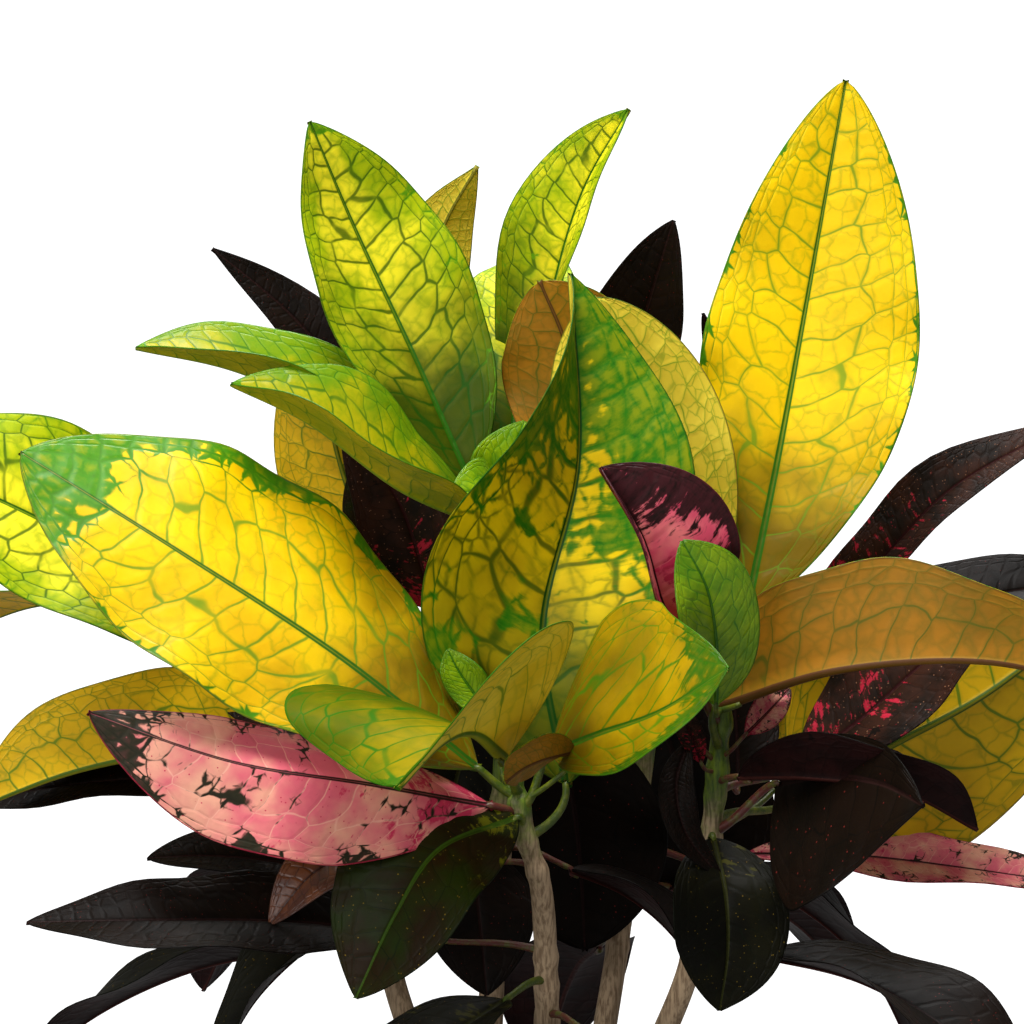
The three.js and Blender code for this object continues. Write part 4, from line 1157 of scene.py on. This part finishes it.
# Dark leaves are dull and thick, and their veins hardly show.
SOMBRE = dict(width=0.2, net=0.2, patches=0.15, halo=0.0, depth=0.00018, rough=0.46, shine=0.08)
UNDER = dict(raised=True, rough=0.55, shine=0.2)
LEAF_LOOKS = {
    "gold": GOLD,
    "gold_tip": like(GOLD, line=rgb(90, 138, 24), edge=rgb(110, 120, 20), soft=0.4, firm=0.76, net=0.22,
                     tip=0.26, right=0.16, margin=0.12, halo=0.36, shine=0.32),
    "gold_net": like(GOLD, second=rgb(240, 196, 4), line=rgb(96, 140, 20), width=0.3, firm=0.72, net=0.34,
                     margin=0.1, halo=0.4, rough=0.42, shine=0.12),
    "gold_curl": like(GOLD, ground=rgb(172, 138, 4), second=rgb(138, 114, 4), flood=rgb(44, 92, 6),
                      slant=1.3, width=0.25, net=0.3, soft=0.7, tip=0.36, margin=0.24, right=0.2,
                      reach=0.8, streaky=0.4),
    "limegold": like(LIME, ground=rgb(248, 232, 40), second=rgb(172, 186, 8), ink=rgb(22, 74, 5),
                     deep=rgb(44, 66, 2), net=0.25, firm=0.78, margin=0.36, patches=0.3, halo=0.55,
                     bleed=3.0, shade=0.97, shade_from=0.6, shade_to=0.2, rough=0.46, shine=0.12),
    "lime": like(LIME, slant=1.0, net=0.2),
    "lime_curl": like(LIME, ground=rgb(134, 120, 4), second=rgb(84, 92, 4), flood=rgb(52, 96, 6),
                      slant=1.2, width=0.4, firm=0.9, net=0.1, through=0.1, rough=0.55, shine=0.05),
    "flood": like(LIME, ground=rgb(240, 206, 8), second=rgb(206, 170, 6), ink=rgb(18, 70, 4),
                  rib=rgb(20, 64, 6), flood=rgb(42, 110, 6), deep=rgb(48, 72, 4), width=0.5, soft=0.9,
                  net=0.9, tip=0.62, margin=0.3, right=0.44, patches=0.7, reach=0.85, streaky=0.38,
                  halo=0.55, rimward=0.0, shade=0.9, shade_from=0.55, shade_to=0.15, rough=0.5,
                  shine=0.12),
    "young": dict(ground=rgb(130, 160, 4), second=rgb(92, 134, 4), ink=rgb(48, 108, 6),
                  rib=rgb(46, 104, 10), flood=rgb(60, 124, 8), slant=1.0, width=0.3, net=0.1, halo=0.3),
    "pink": dict(ground=rgb(214, 96, 112), second=rgb(228, 162, 136), ink=rgb(28, 24, 16),
                 rib=rgb(46, 26, 24), line=rgb(240, 184, 160), flood=rgb(38, 36, 22),
                 edge=rgb(160, 26, 56), width=0.3, soft=0.3, firm=0.5, net=0.0, tip=0.26, margin=0.22,
                 patches=0.7, reach=0.62, streaky=0.1, through=0.05, halo=0.0, rimward=0.1,
                 flush=rgb(196, 52, 84), flush_share=0.06, flush_reach=0.3,
                 speck=rgb(190, 50, 78), specks=0.3, rough=0.48, shine=0.12),
    "pink_dark": dict(ground=rgb(216, 78, 104), second=rgb(238, 140, 130), ink=rgb(20, 12, 10),
                      rib=rgb(46, 22, 22), line=rgb(232, 120, 130), flood=rgb(24, 15, 12),
                      edge=rgb(70, 16, 26), slant=0.2, width=0.2, soft=0.4, firm=0.4, net=0.0, tip=0.6,
                      right=0.2, margin=0.2, patches=0.4, streaky=0.85, through=0.05, halo=0.0,
                      flush=rgb(184, 44, 74), flush_share=0.06, flush_reach=0.6, shine=0.15),
    "deep": like(SOMBRE, ground=rgb(28, 40, 4), second=rgb(34, 22, 6), ink=rgb(12, 22, 4),
                 rib=rgb(52, 78, 14), flush=rgb(96, 96, 12), flush_share=-0.03, flush_reach=0.5,
                 speck=rgb(120, 96, 22), specks=0.3),
    "olive": like(SOMBRE, ground=rgb(20, 19, 6), second=rgb(12, 11, 5), ink=rgb(12, 16, 6),
                  rib=rgb(44, 46, 14), flush=rgb(60, 58, 12), flush_share=-0.06, flush_reach=0.5,
                  speck=rgb(112, 90, 28), specks=0.35),
    "dark": like(SOMBRE, ground=rgb(20, 11, 6), second=rgb(12, 7, 4), ink=rgb(8, 6, 4),
                 rib=rgb(34, 17, 15), speck=rgb(110, 34, 28), specks=0.25),
    "crimson": like(SOMBRE, ground=rgb(52, 28, 18), second=rgb(24, 16, 10), ink=rgb(20, 12, 8),
                    rib=rgb(50, 17, 18), flush=rgb(176, 34, 54), flush_share=0.06, flush_reach=0.4,
                    speck=rgb(128, 88, 64), specks=0.5),
    "rust": dict(ground=rgb(108, 58, 28), second=rgb(78, 40, 25), ink=rgb(46, 22, 14),
                 rib=rgb(56, 28, 18), width=0.3, net=0.3, patches=0.1),
    "orange_under": like(UNDER, ground=rgb(168, 112, 18), second=rgb(142, 100, 18), ink=rgb(92, 92, 14),
                         rib=rgb(84, 50, 20), edge=rgb(80, 34, 16), width=0.3, net=0.06, halo=0.4,
                         bleed=2.4, depth=0.00012),
    "khaki_under": like(UNDER, ground=rgb(224, 200, 58), second=rgb(206, 182, 44), ink=rgb(116, 142, 20),
                        rib=rgb(112, 110, 34), edge=rgb(88, 48, 20), width=0.36, net=0.7, halo=0.35),
    "yellow_under": like(UNDER, ground=rgb(226, 182, 8), second=rgb(202, 160, 6), ink=rgb(92, 122, 10),
                         rib=rgb(70, 96, 14), edge=rgb(110, 96, 18), width=0.38, net=0.5, halo=0.35),
    "lime_under": like(UNDER, ground=rgb(252, 224, 64), second=rgb(236, 204, 36), ink=rgb(124, 150, 14),
                       rib=rgb(80, 110, 14), edge=rgb(120, 140, 18), slant=1.3, width=0.3, net=0.1,
                       halo=0.3),
    "green_under": like(UNDER, ground=rgb(164, 154, 22), second=rgb(130, 140, 18), ink=rgb(70, 112, 16),
                        rib=rgb(110, 134, 34), net=0.4),
    "wine_under": like(SOMBRE, ground=rgb(42, 19, 18), second=rgb(28, 14, 13), ink=rgb(20, 10, 9),
                       rib=rgb(64, 30, 26), raised=True),
    "rose_under": like(UNDER, ground=rgb(140, 58, 44), second=rgb(110, 48, 26), ink=rgb(58, 26, 18),
                       rib=rgb(88, 36, 30), width=0.25, net=0.2, tip=0.15, patches=0.2),
}
# Upper side, under side, stalk and slot of each colour kind.
LEAF_KINDS = {
    "gold": ("gold", "yellow_under", "green", "gold_foliage"),
    "gold_tip": ("gold_tip", "yellow_under", "green", "gold_foliage"),
    "gold_net": ("gold_net", "yellow_under", "green", "gold_foliage"),
    "gold_curl": ("gold_curl", "yellow_under", "green", "gold_foliage"),
    "limegold": ("limegold", "yellow_under", "green", "gold_foliage"),
    "lime": ("lime", "green_under", "green", "gold_foliage"),
    "lime_curl": ("lime_curl", "lime_under", "green", "gold_foliage"),
    "flood": ("flood", "khaki_under", "green", "gold_foliage"),
    "young": ("young", "green_under", "green", "gold_foliage"),
    "ochre": ("gold", "yellow_under", "green", "gold_foliage"),
    "orange": ("gold", "orange_under", "green", "gold_foliage"),
    "khaki": ("limegold", "khaki_under", "green", "gold_foliage"),
    "pink": ("pink", "rose_under", "red", "dark_foliage"),
    "pink_dark": ("pink_dark", "rose_under", "red", "dark_foliage"),
    "deep": ("deep", "green_under", "green", "dark_foliage"),
    "olive": ("olive", "wine_under", "green", "dark_foliage"),
    "dark": ("dark", "wine_under", "red", "dark_foliage"),
    "crimson": ("crimson", "wine_under", "red", "dark_foliage"),
    "rust": ("rust", "orange_under", "red", "dark_foliage"),
}

face_paints = {name: leaf_face("leaf_" + name, **look) for name, look in LEAF_LOOKS.items()}
stalk_paints = {"green": stalk_skin("stalk_green", rgb(60, 80, 6), rgb(104, 112, 12)),
                "red": stalk_skin("stalk_red", rgb(96, 40, 34), rgb(88, 96, 34))}
for number, row in enumerate(READ_LEAVES + [arched_row(row) for row in ARCHED_LEAVES]):
    name, kind, stem_name = row[:3]
    upper_look, under_look, stalk_look, slot = LEAF_KINDS[kind]
    points, faces, face_slots, corner_maps = leaf_mesh(row, number)
    leaf = piece("leaf_" + name, points * MM, faces,
                 [face_paints[upper_look], face_paints[under_look], stalk_paints[stalk_look]], face_slots)
    for key, places in corner_maps.items():
        leaf.data.uv_layers.new(name=key).data.foreach_set("uv", places.ravel())
    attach(leaf, "root")
    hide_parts("leafy_stem_" + stem_name)

# ---------------------------------------------------------------- studio
# A plain pale floor, large soft lights and a camera at the photograph's viewing angle: straight
# on, a little above the middle of the leaves, and far enough off for a flat perspective.

FLOOR_REACH = 900
LIGHT_TARGET = (0, 0, 0.4)
CAMERA_TARGET = (0, 0, 0.3952)
CAMERA_DISTANCE = 2.0
CAMERA_RISE = math.radians(6)
CAMERA_LENS = 175.8
CAMERA_SENSOR = 36
WHITE = (1, 1, 1, 1)


def floor_paint():
    """Pale grey in soft light; to the camera it fades to white away from the pot."""
    material, paint, shader = finish("pale_floor")
    coat(shader, Base_Color=rgb(128, 128, 128), Roughness=0.9)
    glow = paint.node("Emission", {}, {"Color": WHITE, "Strength": 1.3})
    where = paint.node("TexCoord", {}, {}, "Object")
    away = fade(where.node("VectorMath", {"operation": "LENGTH"}, {0: where}, "Value"), 0.3, 1.2)
    seen = paint.node("LightPath", {}, {}, "Is Camera Ray") * (0.7 + 0.3 * away)
    washed = paint.node("MixShader", {}, {0: seen, 1: Wash(paint.tree, shader.outputs[0]), 2: glow})
    paint.tree.links.new(washed.socket, paint.tree.nodes["Material Output"].inputs["Surface"])
    return material


floor_corners = [[-FLOOR_REACH, -FLOOR_REACH, 0], [FLOOR_REACH, -FLOOR_REACH, 0],
                 [FLOOR_REACH, FLOOR_REACH, 0], [-FLOOR_REACH, FLOOR_REACH, 0]]
floor = piece("floor", floor_corners, [(0, 1, 2, 3)], [floor_paint()])


def soft_light(name, place, size, watts):
    """A square soft box that faces the leaves."""
    light = bpy.data.lights.new(name, "AREA")
    light.shape = "SQUARE"
    light.size = size
    light.energy = watts
    item = bpy.data.objects.new(name, light)
    item.location = place
    aim = unit(np.array(LIGHT_TARGET, float) - np.array(place, float))
    item.rotation_euler = (math.acos(-aim[2]), 0, math.atan2(-aim[0], aim[1]))
    bpy.context.collection.objects.link(item)


soft_light("key", (-0.3, -0.7, 2.4), 1.0, 68)
soft_light("fill", (-1.3, -1.8, 0.9), 1.4, 24)
soft_light("back", (0.2, 1.0, 2.2), 1.0, 32)

world = bpy.data.worlds.new("studio_white")
world.use_nodes = True
bpy.context.scene.world = world
background = world.node_tree.nodes["Background"]
background.inputs["Color"].default_value = WHITE
camera_ray = Wash(world.node_tree).node("LightPath", {}, {}, "Is Camera Ray")
world.node_tree.links.new((0.26 + 0.74 * camera_ray).socket, background.inputs["Strength"])

lens = bpy.data.cameras.new("camera")
lens.lens = CAMERA_LENS
lens.sensor_width = CAMERA_SENSOR
camera = bpy.data.objects.new("camera", lens)
camera.location = (CAMERA_TARGET[0], CAMERA_TARGET[1] - CAMERA_DISTANCE * math.cos(CAMERA_RISE),
                   CAMERA_TARGET[2] + CAMERA_DISTANCE * math.sin(CAMERA_RISE))
camera.rotation_euler = (math.pi / 2 - CAMERA_RISE, 0, 0)
bpy.context.collection.objects.link(camera)
bpy.context.scene.camera = camera
bpy.context.scene.view_settings.view_transform = "Standard"
